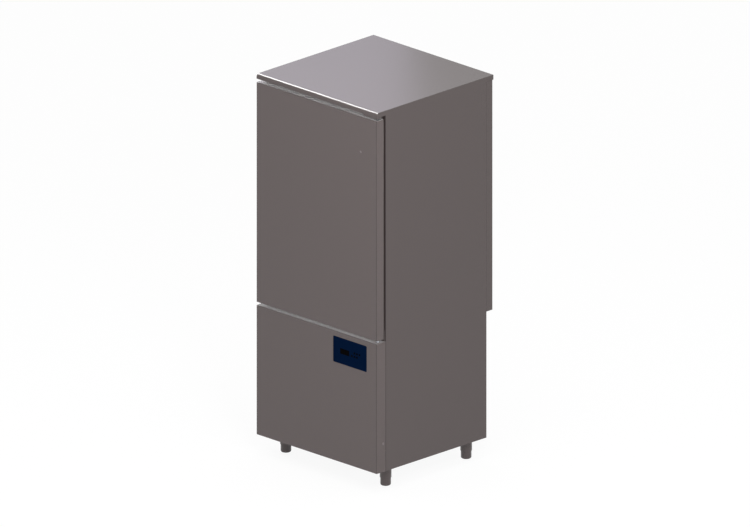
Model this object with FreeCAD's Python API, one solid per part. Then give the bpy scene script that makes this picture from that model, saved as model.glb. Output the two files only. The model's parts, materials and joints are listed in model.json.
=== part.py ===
import FreeCAD, Part
import math
import os

# Upright blast chiller, 790 mm wide, on levelling feet, with its hinge on the right.
# Millimetres. X runs to the right, Y to the back, Z up. The origin is on the floor, under the
# middle of the cabinet. Every piece is made in its place, and names ending in _Y or _Z are planes.

os.makedirs("parts", exist_ok=True)
V = FreeCAD.Vector
X_AXIS = V(1, 0, 0)
Y_AXIS = V(0, 1, 0)
Z_AXIS = V(0, 0, 1)

# ---- Cabinet ----
WIDTH = 790.0               # over the side panels
DEPTH = 770.0               # front lip to rear lip of the top
HEIGHT = 1880.0             # floor to top
LEG_HEIGHT = 100.0          # floor to the cabinet's underside
PANEL_HEIGHT = 640.0        # lower front panel
LIP_HEIGHT = 24.0           # lip round the top
NOSE_RADIUS = 16.0          # front edge of the top
REAR_LIP = 6.0              # top's overhang behind the rear cover
REAR_COVER_DEPTH = 40.0
REAR_COVER_DROP = 18.0      # rear cover's reach below the lower front panel's top
WALL = 60.0                 # insulated wall, from the outer skin to the chamber
SKIN = 1.2                  # outer sheet
BEND_RADIUS = 2.0           # outside radius of a folded edge
FRONT_RETURN = 14.0         # side panel's folds, on the front and the lower back
FIT = 0.2                   # gap between pieces that are fitted together

# ---- Door ----
DOOR_THICKNESS = 47.0
SEAL_GAP = 13.0             # door to cabinet
GAP_ABOVE_DOOR = 16.0
GAP_BELOW_DOOR = 14.0
DOOR_LAP = 45.0             # door's overlap above and below the chamber's mouth
SEAL_CLEARANCE = 0.3        # gasket to cabinet, door shut
GASKET_WIDTH = 20.0
GASKET_BASE = 4.0           # thickness of the gasket's foot
GASKET_OFFSET = 6.0         # chamber's mouth to the gasket's inner edge
DAM_HEIGHT = 8.0            # raised middle of the door's inner skin
DAM_INSET = 12.0            # chamber's mouth to the raised middle
GRIP_DEPTH = 32.0           # finger recess, inwards from the door's left edge
GRIP_FRONT = 20.0           # door's face to the recess
GRIP_LENGTH = 340.0
GRIP_WALL = 2.0
GRIP_HEIGHT = 1240.0        # floor to the middle of the recess

# ---- Hinge ----
PIVOT_INSET = 17.0          # hinge axis from the door's right edge
PIN_RADIUS = 6.0
PIN_FIT = 0.05              # running fit, on radius
BUSH_WIDTH = 20.0           # square bearing block round each pin
BUSH_LENGTH = 28.0
PIN_END_GAP = 2.0           # pin's end to the bush's inner end
SHOULDER_RADIUS = 10.0      # hexagonal shoulder of the lower pin, which carries the door
HINGE_PLATE = 8.0           # thickness of the top plate
HINGE_PLATE_WIDTH = 87.0
HINGE_PLATE_EDGE = 2.0      # plate's edge from the cabinet's side
HINGE_PLATE_FRONT = 3.0     # plate's edge from the cabinet's front
HINGE_HEAD = 33.0           # depth of the plate's wide part
HINGE_STEP = 17.0           # how far its narrow part is set in
HINGE_LEG = 5.0             # thickness of both legs
LEG_SEAL_GAP = 3.0          # legs to the gasket
TONGUE_THICKNESS = 6.0      # lower bracket's tongue
TONGUE_WIDTH = 41.0
LOWER_LEG_RISE = 44.0       # leg's reach above the door's lower edge
BRACKET_EDGE = 4.0          # lower bracket from the cabinet's side

# ---- Chamber ----
LINER = 1.0                 # liner sheet
LINER_RADIUS = 15.0         # coved edges
BREAKER_WIDTH = 12.0        # plastic strip round the mouth
BREAKER_DEPTH = 12.0
UPRIGHT_DEPTH = 18.0        # rack upright, out from the wall
UPRIGHT_WIDTH = 25.0
UPRIGHT_SHEET = 1.5
UPRIGHT_END_GAP = 16.0      # uprights' ends from the chamber's floor and ceiling
FRONT_UPRIGHT = 60.0        # chamber's mouth to the front upright
REAR_UPRIGHT = 345.0        # chamber's mouth to the rear upright
RUNNER_PITCH = 65.0
RUNNER_LEDGE = 30.0
RUNNER_FLANGE = 22.0
RUNNER_SHEET = 1.5
RUNNER_LENGTH = 415.0
RUNNER_START = 22.0         # chamber's mouth to the runners
RUNNER_LOWEST = 42.0        # chamber's floor to the lowest ledge
RUNNER_TOP_GAP = 60.0       # least space above the highest ledge
PROBE_BODY = 18.0           # width of the socket's body in the foam
PROBE_FLANGE = 28.0
PROBE_PLATE = 4.0
PROBE_DROP = 20.0           # probe socket's middle below the uprights' tops
PROBE_BACK = 200.0          # probe socket from the chamber's mouth

# ---- Chamber fans and evaporator ----
FAN_COUNT = 2
FAN_RADIUS = 145.0
FAN_TIP_GAP = 6.0           # blade tips to the baffle's rings
FAN_HUB_RADIUS = 32.0
FAN_HUB_DEPTH = 36.0
FAN_BLADES = 5
FAN_BLADE_THICKNESS = 2.5
FAN_PITCH = 28.0            # blades' angle to the wheel's plane, degrees
FAN_BLADE_WIDTH = 0.55      # blade's chord over the wheel's radius
FAN_BLADE_BOW = 0.2         # blade's curve, as a share of its half chord
FAN_BLADE_CREASES = 2
FAN_SHAFT_RADIUS = 5.0
FAN_SHAFT_REACH = 20.0      # shaft inside its motor
FAN_MOTOR_RADIUS = 42.0
FAN_MOTOR_LENGTH = 46.0
FAN_FRONT_GAP = 8.0         # baffle to hub
FAN_BACK_GAP = 4.0          # hub to motor
MOTOR_ARMS = 3
ARM_WIDTH = 12.0
ARM_THICKNESS = 4.0
GUARD_BAR = 3.0
GUARD_BARS = 7              # level bars in each guard
GUARD_TIES = 1              # upright bars across them
GUARD_FRAME = 8.0
GUARD_LAP = 10.0            # guard's overlap of the baffle round each opening
BAFFLE_SIDE_GAP = 35.0      # baffle to the chamber's side walls
BAFFLE_SHEET = 1.2
BAFFLE_FLANGE = 25.0
EVAPORATOR_SIDE_GAP = 77.0  # coil to the chamber's side walls
EVAPORATOR_DEPTH = 66.0
EVAPORATOR_END_GAP = 32.0   # coil from the chamber's floor and ceiling
EVAPORATOR_BACK_GAP = 6.0   # coil from the chamber's rear wall
MOTOR_COIL_GAP = 4.0        # fan motors to the coil
COIL_END_PLATE = 2.0
COIL_LIP = 2.0              # end plates' overlap of the coil
COIL_TUBE_RADIUS = 5.0
FIN_DEPTH = 6.0
FIN_THICKNESS = 2.0
EVAPORATOR_FIN_PITCH = 32.0
EVAPORATOR_BENDS = 4
DRIP_TRAY_HEIGHT = 18.0
DRIP_TRAY_SHEET = 1.0
DRIP_TRAY_OVERHANG = 8.0    # tray beyond the coil
TRAY_BACK_GAP = 16.0        # tray from the chamber's coved rear edge

# ---- Machine compartment ----
CHASSIS_SHEET = 2.0
CHASSIS_FLANGE = 35.0
INTAKE_SLOTS = 8
INTAKE_SLOT_LENGTH = 250.0
INTAKE_SLOT_WIDTH = 14.0
INTAKE_PITCH = 28.0
INTAKE_START = 60.0         # chassis's front edge to the first slot
CONDENSER_HEIGHT = 340.0
CONDENSER_DEPTH = 66.0
CONDENSER_BACK_GAP = 16.0   # coil to the louvred panel
CONDENSER_LEFT_GAP = 30.0   # coil to the left side panel
CONDENSER_RIGHT_GAP = 83.8  # coil to the compressor's foot plate, with the riser between them
CONDENSER_FIN_PITCH = 20.0
CONDENSER_BENDS = 3
SHROUD_DEPTH = 30.0
SHROUD_SHEET = 1.2
SHROUD_RIM = 12.0           # shroud's mouth to its sides
CONDENSER_HUB_RADIUS = 36.0
CONDENSER_HUB_DEPTH = 40.0
CONDENSER_MOTOR_RADIUS = 46.0
CONDENSER_MOTOR_LENGTH = 60.0
COMPRESSOR_INSET = 245.0    # cabinet's right side to the compressor's axis
COMPRESSOR_BACK = 370.0     # cabinet's front to the compressor's axis
COMPRESSOR_RADIUS = 95.0
COMPRESSOR_HEIGHT = 260.0
COMPRESSOR_SEAM = 170.0     # foot plate to the weld between the shell's halves
COMPRESSOR_STEP = 4.0       # upper half inside the lower one
COMPRESSOR_FOOT = 110.0     # half-width of its foot plate
COMPRESSOR_FOOT_PLATE = 4.0
MOUNT_WIDTH = 32.0
MOUNT_HEIGHT = 20.0
MOUNT_INSET = 18.0
TERMINAL_WIDTH = 70.0
TERMINAL_HEIGHT = 90.0
TERMINAL_DEPTH = 42.0
RECEIVER_INSET = 105.0      # cabinet's left side to the receiver's axis
RECEIVER_BACK = 230.0
RECEIVER_RADIUS = 55.0
RECEIVER_HEIGHT = 240.0
RECEIVER_INLET = 30.0       # chassis to the middle of the inlet
DRIER_RADIUS = 24.0
DRIER_LENGTH = 120.0
DRIER_HEIGHT = 470.0        # chassis floor to the drier's middle
LIQUID_RADIUS = 5.0
SUCTION_RADIUS = 8.0
PIPE_BEND = 26.0
PIPE_SHAFT_INSET = 33.0     # chamber's right wall to the pipes that rise through its floor
PIPE_SPACING = 30.0
DRAIN_INSET = 335.0         # cabinet's right side to the drain
DRAIN_RADIUS = 12.5
DRAIN_WALL = 2.0
SPIGOT_RADIUS = 14.0
SPIGOT_LENGTH = 30.0        # outlet below the cabinet
LOUVRE_ROWS = 6
LOUVRE_PITCH = 45.0
LOUVRE_LENGTH = 180.0
LOUVRE_HEIGHT = 20.0
LOUVRE_PROJECTION = 9.0
LOUVRE_LOWEST = 60.0        # chassis to the lowest louvre
LOUVRE_INSET = 205.0        # cabinet's sides to the middle of each column of louvres
GLAND_INSET = 65.0          # cabinet's right side to the cable inlet
GLAND_HEIGHT = 90.0         # above the cabinet's underside
GLAND_BORE = 7.0
GLAND_SHANK_RADIUS = 13.0
GLAND_HEX_RADIUS = 17.0
GLAND_HEX_LENGTH = 8.0
GLAND_CAP_LENGTH = 20.0
CONTROL_BOX_WIDTH = 250.0
CONTROL_BOX_HEIGHT = 170.0
CONTROL_BOX_DEPTH = 100.0
CONTROL_BOX_EDGE = 40.0     # from the cabinet's right side
CONTROL_BOX_BACK = 30.0     # from the cabinet's front

# ---- Control panel ----
FASCIA_WIDTH = 220.5
FASCIA_HEIGHT = 128.0
FASCIA_EDGE = 65.0          # from the cabinet's right side
FASCIA_DROP = 25.0          # from the lower front panel's top
FASCIA_RADIUS = 6.0
FASCIA_THICKNESS = 3.0
FASCIA_RECESS = 0.8         # behind the lower front panel's face
DISPLAY_WIDTH = 59.0
DISPLAY_HEIGHT = 27.0
DISPLAY_LEFT = 45.5         # fascia's left edge to the display
DISPLAY_DROP = 52.0         # fascia's top to the display
DISPLAY_THICKNESS = 1.5
KEY_RADIUS = 5.5
KEY_PITCH = 16.7
KEY_ROW_GAP = 17.0
KEY_TOP_ROW = 56.0          # fascia's top to the upper row's axes
KEY_FIRST = 121.4           # fascia's left edge to the lower row's first key
KEY_CLEARANCE = 0.3
KEY_FLANGE = 1.5            # retaining flange, beyond the key's radius
KEY_FLANGE_THICKNESS = 1.2
KEY_FLANGE_GAP = 0.3
KEY_TRAVEL = 0.6
KEY_STEM_WIDTH = 4.0
KEY_STEM_LENGTH = 3.0
SWITCH_GAP = 0.3            # stem to switch with the key pressed in
SWITCH_HEIGHT = 2.0
SWITCH_SIZE = 6.0
BOARD_THICKNESS = 1.6
BOARD_GAP = 0.5             # board to the carrier's walls
CARRIER_LAP = 8.0           # carrier's overlap behind the lower front panel
CARRIER_LEDGE = 6.0         # ledge behind the fascia
CARRIER_BACK = 5.0          # carrier's reach behind the board

# ---- Feet ----
FOOT_INSET = 67.0           # feet's axes from the cabinet's sides, front and lower back
SLEEVE_RADIUS = 27.5
SLEEVE_HEIGHT = 62.0
SLEEVE_WEB = 14.0
FOOT_RADIUS = 25.0
FOOT_THREAD_FIT = 0.1       # foot inside its sleeve, on radius
FOOT_BODY = 60.0

# ---- Screws ----
SCREW_HEAD_RADIUS = 5.0
SCREW_HEAD_HEIGHT = 2.2
SCREW_EDGE = 9.0            # screws from the edge of their panel
SCREW_ROWS = 4

# ---- Planes and places worked out from the sizes above ----
SIDE = WIDTH / 2
INNER_SIDE = SIDE - SKIN
FRONT_Y = -DEPTH / 2
REAR_Y = DEPTH / 2
DOOR_BACK_Y = FRONT_Y + DOOR_THICKNESS
BODY_FRONT_Y = DOOR_BACK_Y + SEAL_GAP
BODY_REAR_Y = REAR_Y - REAR_LIP
SIDE_REAR_Y = BODY_REAR_Y - REAR_COVER_DEPTH
PANEL_TOP_Z = LEG_HEIGHT + PANEL_HEIGHT
BODY_BOTTOM_Z = PANEL_TOP_Z - REAR_COVER_DROP
LIP_BOTTOM_Z = HEIGHT - LIP_HEIGHT
DOOR_BOTTOM_Z = PANEL_TOP_Z + GAP_BELOW_DOOR
DOOR_TOP_Z = LIP_BOTTOM_Z - GAP_ABOVE_DOOR
GRIP_BOTTOM_Z = GRIP_HEIGHT - GRIP_LENGTH / 2
GRIP_TOP_Z = GRIP_HEIGHT + GRIP_LENGTH / 2
CHAMBER_SIDE = SIDE - WALL
CHAMBER_FLOOR_Z = DOOR_BOTTOM_Z + DOOR_LAP
CHAMBER_TOP_Z = DOOR_TOP_Z - DOOR_LAP
CHAMBER_REAR_Y = BODY_REAR_Y - WALL
LINER_FRONT_Y = BODY_FRONT_Y + BREAKER_DEPTH
GASKET_OUTER = CHAMBER_SIDE + GASKET_OFFSET + GASKET_WIDTH
GASKET_TOP_Z = CHAMBER_TOP_Z + GASKET_OFFSET + GASKET_WIDTH
RUNNER_SPAN = CHAMBER_TOP_Z - RUNNER_TOP_GAP - CHAMBER_FLOOR_Z - RUNNER_LOWEST
RUNNER_COUNT = 1 + int(RUNNER_SPAN / RUNNER_PITCH)
PIVOT_X = SIDE - PIVOT_INSET
PIVOT_Y = FRONT_Y + DOOR_THICKNESS / 2
CHASSIS_TOP_Z = LEG_HEIGHT + CHASSIS_SHEET

EVAPORATOR_HALF = CHAMBER_SIDE - EVAPORATOR_SIDE_GAP
COIL_REAR_Y = CHAMBER_REAR_Y - EVAPORATOR_BACK_GAP
COIL_FRONT_Y = COIL_REAR_Y - EVAPORATOR_DEPTH
COIL_BOTTOM_Z = CHAMBER_FLOOR_Z + EVAPORATOR_END_GAP
COIL_TOP_Z = CHAMBER_TOP_Z - EVAPORATOR_END_GAP
MOTOR_FRONT_Y = COIL_FRONT_Y - MOTOR_COIL_GAP - FAN_MOTOR_LENGTH
HUB_FRONT_Y = MOTOR_FRONT_Y - FAN_BACK_GAP - FAN_HUB_DEPTH
BAFFLE_Y = HUB_FRONT_Y - FAN_FRONT_GAP
FAN_OPENING = FAN_RADIUS + FAN_TIP_GAP
FAN_STEP = (CHAMBER_TOP_Z - CHAMBER_FLOOR_Z) / FAN_COUNT

COMPRESSOR_X = SIDE - COMPRESSOR_INSET
CONDENSER_X0 = -INNER_SIDE + CONDENSER_LEFT_GAP
CONDENSER_X1 = COMPRESSOR_X - COMPRESSOR_FOOT - CONDENSER_RIGHT_GAP
CONDENSER_FAN_RADIUS = (CONDENSER_X1 - CONDENSER_X0) / 2 - SHROUD_RIM - FAN_TIP_GAP
CONDENSER_REAR_Y = SIDE_REAR_Y - SKIN - CONDENSER_BACK_GAP
CONDENSER_FRONT_Y = CONDENSER_REAR_Y - CONDENSER_DEPTH
CONDENSER_TOP_Z = CHASSIS_TOP_Z + CONDENSER_HEIGHT
SHROUD_Y = CONDENSER_FRONT_Y - SHROUD_DEPTH
CONDENSER_FAN_X = (CONDENSER_X0 + CONDENSER_X1) / 2
CONDENSER_FAN_Z = CHASSIS_TOP_Z + CONDENSER_HEIGHT / 2
CONDENSER_FAN_Y = CONDENSER_FRONT_Y - FAN_BACK_GAP - CONDENSER_HUB_DEPTH
COMPRESSOR_Y = BODY_FRONT_Y + COMPRESSOR_BACK
COMPRESSOR_BASE_Z = CHASSIS_TOP_Z + MOUNT_HEIGHT
COMPRESSOR_TOP_Z = COMPRESSOR_BASE_Z + COMPRESSOR_HEIGHT
RECEIVER_X = RECEIVER_INSET - SIDE
RECEIVER_Y = BODY_FRONT_Y + RECEIVER_BACK
RECEIVER_TOP_Z = CHASSIS_TOP_Z + RECEIVER_HEIGHT
RECEIVER_INLET_Z = CHASSIS_TOP_Z + RECEIVER_INLET
DRIER_Z = CHASSIS_TOP_Z + DRIER_HEIGHT
PIPE_SHAFT_X = CHAMBER_SIDE - PIPE_SHAFT_INSET
PIPE_SHAFT_Y = (COIL_FRONT_Y + COIL_REAR_Y) / 2
DRAIN_X = SIDE - DRAIN_INSET
DRAIN_Y = PIPE_SHAFT_Y
GLAND_X = SIDE - GLAND_INSET
GLAND_Z = LEG_HEIGHT + GLAND_HEIGHT

FASCIA_RIGHT = SIDE - FASCIA_EDGE
FASCIA_LEFT = FASCIA_RIGHT - FASCIA_WIDTH
FASCIA_TOP_Z = PANEL_TOP_Z - FASCIA_DROP
FASCIA_BOTTOM_Z = FASCIA_TOP_Z - FASCIA_HEIGHT
FASCIA_Y = FRONT_Y + FASCIA_RECESS
FASCIA_BACK_Y = FASCIA_Y + FASCIA_THICKNESS
KEY_FLANGE_Y = FASCIA_BACK_Y + KEY_FLANGE_GAP
STEM_END_Y = KEY_FLANGE_Y + KEY_FLANGE_THICKNESS + KEY_STEM_LENGTH
SWITCH_Y = STEM_END_Y + KEY_TRAVEL + SWITCH_GAP
BOARD_Y = SWITCH_Y + SWITCH_HEIGHT
CARRIER_BACK_Y = BOARD_Y + BOARD_THICKNESS + CARRIER_BACK
KEY_UPPER_Z = FASCIA_TOP_Z - KEY_TOP_ROW
KEY_LOWER_Z = KEY_UPPER_Z - KEY_ROW_GAP
KEYS = {
    "key_lower_left": (0, KEY_LOWER_Z),
    "key_lower_middle": (1, KEY_LOWER_Z),
    "key_lower_right": (2, KEY_LOWER_Z),
    "key_upper_left": (1, KEY_UPPER_Z),
    "key_upper_middle": (2, KEY_UPPER_Z),
    "key_upper_right": (3, KEY_UPPER_Z),
}

FOOT_X = SIDE - FOOT_INSET
FOOT_FRONT_Y = BODY_FRONT_Y + FOOT_INSET
FOOT_REAR_Y = SIDE_REAR_Y - FOOT_INSET
FEET = {
    "foot_front_left": (-FOOT_X, FOOT_FRONT_Y),
    "foot_front_right": (FOOT_X, FOOT_FRONT_Y),
    "foot_rear_left": (-FOOT_X, FOOT_REAR_Y),
    "foot_rear_right": (FOOT_X, FOOT_REAR_Y),
}


# ---- Shapes used by several pieces ----

def save(name, *solids):
    """Write one sub-part: a solid, or a group of like solids."""
    shape = solids[0] if len(solids) == 1 else Part.makeCompound(list(solids))
    shape.exportStep(f"parts/{name}.step")


def fused(*solids):
    """One solid from pieces that meet."""
    return solids[0].multiFuse(list(solids[1:])).removeSplitter()


def block(x0, x1, y0, y1, z0, z1):
    """Box between two corners."""
    return Part.makeBox(x1 - x0, y1 - y0, z1 - z0, V(x0, y0, z0))


def square_hole(x, y, radius, z0, z1):
    """Upright square hole round a pipe or a pin."""
    half = radius + FIT
    return block(x - half, x + half, y - half, y + half, z0, z1)


def bar(radius, start, end):
    """Round bar between two points."""
    return Part.makeCylinder(radius, (end - start).Length, start, end - start)


def mirrored(solid):
    """The same piece on the other side of the cabinet."""
    return solid.mirror(V(0, 0, 0), X_AXIS)


def extruded(points, sweep):
    """Solid swept from a flat outline of straight edges."""
    return Part.Face(Part.makePolygon(points + [points[0]])).extrude(sweep)


def edges_along(solid, axis):
    """Straight edges parallel to an axis."""
    lines = [e for e in solid.Edges if isinstance(e.Curve, Part.Line)]
    return [e for e in lines if abs(e.tangentAt(e.FirstParameter).dot(axis)) > 0.999]


def rounded(solid, radius, axis):
    """The solid with its edges along one axis rounded."""
    return solid.makeFillet(radius, edges_along(solid, axis))


def softened_front(solid, y, radius):
    """The solid with the four edges of its face at y rounded, as folded sheet is."""
    rim = [e for e in solid.Edges if all(abs(v.Y - y) < 0.01 for v in e.Vertexes)]
    return solid.makeFillet(radius, rim)


def frame_ring(half_width, low, high, width, y0, y1):
    """Upright rectangular frame round an opening, its bars of one width."""
    outer = block(-half_width - width, half_width + width, y0, y1, low - width, high + width)
    return outer.cut(block(-half_width, half_width, y0, y1, low, high))


def mitred_path(points, cut):
    """Straight runs through the points, with each corner cut across at one distance from it."""
    stops = [points[0]]
    for before, corner, after in zip(points, points[1:], points[2:]):
        stops.append(corner + (before - corner).normalize() * cut)
        stops.append(corner + (after - corner).normalize() * cut)
    return Part.makePolygon(stops + [points[-1]])


def bent_bar(points, cut, radius):
    """Six-sided bar along straight runs with mitred corners, for a pipe of one radius."""
    ahead = (points[1] - points[0]).normalize()
    aside = V(ahead.y, ahead.z, ahead.x)
    corners = []
    for i in range(7):
        turn = FreeCAD.Rotation(ahead, 60 * i)
        corners.append(points[0] + turn.multVec(aside) * radius)
    return mitred_path(points, cut).makePipeShell([Part.makePolygon(corners)], True, False, 1)


def blade_form(root, tip, hub_depth):
    """Pressed blade: a strip creased along the radius to bow across the air, and tapered."""
    half = tip * FAN_BLADE_WIDTH / 2
    turn = math.radians(FAN_PITCH)
    chord = V(math.cos(turn), math.sin(turn), 0) * half
    across = V(-chord.y, chord.x, 0).normalize()
    middle = V(0, hub_depth / 2, 0)
    front = []
    for i in range(FAN_BLADE_CREASES + 2):
        place = 2 * i / (FAN_BLADE_CREASES + 1) - 1
        front.append(middle + chord * place + across * (half * FAN_BLADE_BOW * (1 - place * place)))
    back = [point + across * FAN_BLADE_THICKNESS for point in front]
    strip = extruded(front + back[::-1], V(0, 0, tip))
    corner_z = math.sqrt(tip * tip - chord.x * chord.x)
    low = hub_depth / 2 - half
    taper = extruded([V(-root / 2, low, root), V(root / 2, low, root), V(chord.x, low, corner_z),
                      V(-chord.x, low, corner_z)], V(0, 2 * half, 0))
    return strip.common(taper)


def impeller(tip_radius, hub_radius, hub_depth, blades, shaft_reach):
    """Axial fan wheel and its shaft, about the Y axis, with the hub's front at Y = 0."""
    hub = Part.makeCylinder(hub_radius, hub_depth, V(0, 0, 0), Y_AXIS)
    shaft = Part.makeCylinder(FAN_SHAFT_RADIUS, shaft_reach, V(0, hub_depth, 0), Y_AXIS)
    blade = blade_form(hub_radius * 0.7, tip_radius, hub_depth)
    step = 360 / blades
    wheel = [blade.rotated(V(0, 0, 0), Y_AXIS, step * i) for i in range(blades)]
    return fused(hub, shaft, *wheel)


def finned_block(x0, x1, y0, y1, z0, z1, pitch):
    """Coil block with upright fins standing out of its front and back faces."""
    count = int((x1 - x0 - FIN_THICKNESS) / pitch)
    span = (x1 - x0 - FIN_THICKNESS) / count
    front = []
    back = []
    for i in range(count):
        left = x0 + FIN_THICKNESS + span * i
        right = left + span - FIN_THICKNESS
        front += [V(left, y0, z0), V(left, y0 + FIN_DEPTH, z0),
                  V(right, y0 + FIN_DEPTH, z0), V(right, y0, z0)]
        back += [V(left, y1, z0), V(left, y1 - FIN_DEPTH, z0),
                 V(right, y1 - FIN_DEPTH, z0), V(right, y1, z0)]
    outline = [V(x0, y0, z0)] + front + [V(x1, y0, z0), V(x1, y1, z0)]
    outline += back[::-1] + [V(x0, y1, z0)]
    return extruded(outline, V(0, 0, z1 - z0))


def return_bends(x, y0, y1, z0, z1, count):
    """Tubes that join a coil's front and back rows, at its right end."""
    inset = (y1 - y0) / 4
    reach = x + inset
    route = [V(x, y0 + inset, 0), V(reach, y0 + inset, 0), V(reach, y1 - inset, 0), V(x, y1 - inset, 0)]
    bend = bent_bar(route, inset / 2, COIL_TUBE_RADIUS)
    step = (z1 - z0) / count
    return [bend.translated(V(0, 0, z0 + step * (i + 0.5))) for i in range(count)]


def hex_head(x, y, z):
    """Screw's hexagonal head, which lies on a rear face at y."""
    return hexagon(x, z, y, y + SCREW_HEAD_HEIGHT, SCREW_HEAD_RADIUS)


def hexagon(x, z, y0, y1, radius):
    """Six-sided prism between two planes, as a nut or a screw's head."""
    corners = []
    for i in range(6):
        turn = math.radians(60 * i)
        corners.append(V(x + radius * math.cos(turn), y0, z + radius * math.sin(turn)))
    return extruded(corners, V(0, y1 - y0, 0))


# ---- Cabinet casing ----

def top_outline(inset):
    """Side outline of the top's tray, drawn in from its outer faces."""
    front = FRONT_Y + inset
    rear = REAR_Y - inset
    low = LIP_BOTTOM_Z + inset
    high = HEIGHT - inset
    radius = NOSE_RADIUS - inset
    corner = radius * (1 - math.cos(math.pi / 4))
    arc = Part.Arc(V(0, front, high - radius), V(0, front + corner, high - corner),
                   V(0, front + radius, high)).toShape()
    rest = Part.makePolygon([V(0, front + radius, high), V(0, rear, high), V(0, rear, low),
                             V(0, front, low), V(0, front, high - radius)])
    return Part.Face(Part.Wire([arc] + rest.Edges))


def outer_wrap():
    """Both sides and the top with its rounded nose, folded from sheet."""
    tray = top_outline(0).extrude(V(WIDTH, 0, 0)).translated(V(-SIDE, 0, 0))
    hollow = top_outline(SKIN).extrude(V(2 * INNER_SIDE, 0, 0)).translated(V(-INNER_SIDE, 0, 0))
    mouth = block(-INNER_SIDE, INNER_SIDE, BODY_FRONT_Y + SKIN, BODY_REAR_Y,
                  LIP_BOTTOM_Z, LIP_BOTTOM_Z + SKIN)
    side = block(INNER_SIDE, SIDE, BODY_FRONT_Y, SIDE_REAR_Y, LEG_HEIGHT, LIP_BOTTOM_Z)
    fold = block(SIDE - FRONT_RETURN, SIDE, BODY_FRONT_Y, BODY_FRONT_Y + SKIN,
                 LEG_HEIGHT, LIP_BOTTOM_Z)
    rear_fold = block(SIDE - FRONT_RETURN - SKIN, SIDE, SIDE_REAR_Y - 2 * SKIN - FIT,
                      SIDE_REAR_Y - SKIN - FIT, LEG_HEIGHT, BODY_BOTTOM_Z)
    right = fused(side, fold, rear_fold)
    return fused(tray.cut([hollow, mouth]), right, mirrored(right))


def chamber_form(grow):
    """Chamber's space, grown outwards, with its four long edges coved."""
    space = block(-CHAMBER_SIDE - grow, CHAMBER_SIDE + grow, LINER_FRONT_Y, CHAMBER_REAR_Y + grow,
                  CHAMBER_FLOOR_Z - grow, CHAMBER_TOP_Z + grow)
    return rounded(space, LINER_RADIUS + grow, Y_AXIS)


def chamber_liner():
    return chamber_form(LINER).cut([chamber_form(0), *floor_holes(), probe_hole()])


def breaker_strip():
    """Plastic strip between the warm front frame and the cold liner."""
    ring = block(-CHAMBER_SIDE - BREAKER_WIDTH, CHAMBER_SIDE + BREAKER_WIDTH,
                 BODY_FRONT_Y, LINER_FRONT_Y,
                 CHAMBER_FLOOR_Z - BREAKER_WIDTH, CHAMBER_TOP_Z + BREAKER_WIDTH)
    mouth = block(-CHAMBER_SIDE, CHAMBER_SIDE, BODY_FRONT_Y, LINER_FRONT_Y,
                  CHAMBER_FLOOR_Z, CHAMBER_TOP_Z)
    return ring.cut(rounded(mouth, LINER_RADIUS, Y_AXIS))


def front_frame():
    """Steel face round the chamber's mouth, which the gasket meets."""
    half = SIDE - FRONT_RETURN - FIT
    plate = block(-half, half, BODY_FRONT_Y, BODY_FRONT_Y + SKIN, BODY_BOTTOM_Z, LIP_BOTTOM_Z)
    reach = BREAKER_WIDTH + FIT
    return plate.cut(block(-CHAMBER_SIDE - reach, CHAMBER_SIDE + reach,
                           BODY_FRONT_Y, BODY_FRONT_Y + SKIN,
                           CHAMBER_FLOOR_Z - reach, CHAMBER_TOP_Z + reach))


def floor_holes():
    """Square ways through the chamber's floor for the drain and the two pipes."""
    ways = [(DRAIN_X, DRAIN_Y, DRAIN_RADIUS),
            (PIPE_SHAFT_X, PIPE_SHAFT_Y - PIPE_SPACING / 2, LIQUID_RADIUS),
            (PIPE_SHAFT_X, PIPE_SHAFT_Y + PIPE_SPACING / 2, SUCTION_RADIUS)]
    return [square_hole(x, y, radius, BODY_BOTTOM_Z - FIT, CHAMBER_FLOOR_Z + FIT) for x, y, radius in ways]


def insulation():
    """Foam between the skins and the liner."""
    back = SIDE_REAR_Y
    body = block(-INNER_SIDE, INNER_SIDE, BODY_FRONT_Y + SKIN, back,
                 BODY_BOTTOM_Z + SKIN, HEIGHT - SKIN)
    rear = block(-INNER_SIDE, INNER_SIDE, back, BODY_REAR_Y - SKIN,
                 BODY_BOTTOM_Z + SKIN, LIP_BOTTOM_Z - SKIN)
    rim = BREAKER_WIDTH + FIT
    strip = block(-CHAMBER_SIDE - rim, CHAMBER_SIDE + rim, BODY_FRONT_Y, LINER_FRONT_Y,
                  CHAMBER_FLOOR_Z - rim, CHAMBER_TOP_Z + rim)
    return fused(body, rear).cut([strip, chamber_form(LINER), probe_hole(), *floor_holes()])


def body_underside():
    """Sheet that closes the foam from below, over the machine compartment."""
    sheet = block(-INNER_SIDE + FIT, INNER_SIDE - FIT, BODY_FRONT_Y + SKIN, SIDE_REAR_Y,
                  BODY_BOTTOM_Z, BODY_BOTTOM_Z + SKIN)
    return sheet.cut(floor_holes())


def upper_screw_places():
    """X and Z of the screws in the upper rear cover."""
    low = BODY_BOTTOM_Z + SCREW_EDGE
    step = (LIP_BOTTOM_Z - SCREW_EDGE - low) / (SCREW_ROWS - 1)
    return [(s * (SIDE - SCREW_EDGE), low + step * i) for s in (-1, 1) for i in range(SCREW_ROWS)]


def lower_screw_places():
    """X and Z of the screws in the louvred panel."""
    low = LEG_HEIGHT + 2 * SCREW_EDGE
    step = (BODY_BOTTOM_Z - 2 * SCREW_EDGE - low) / (SCREW_ROWS - 1)
    return [(s * (SIDE - SCREW_EDGE), low + step * i) for s in (-1, 1) for i in range(SCREW_ROWS)]


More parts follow.
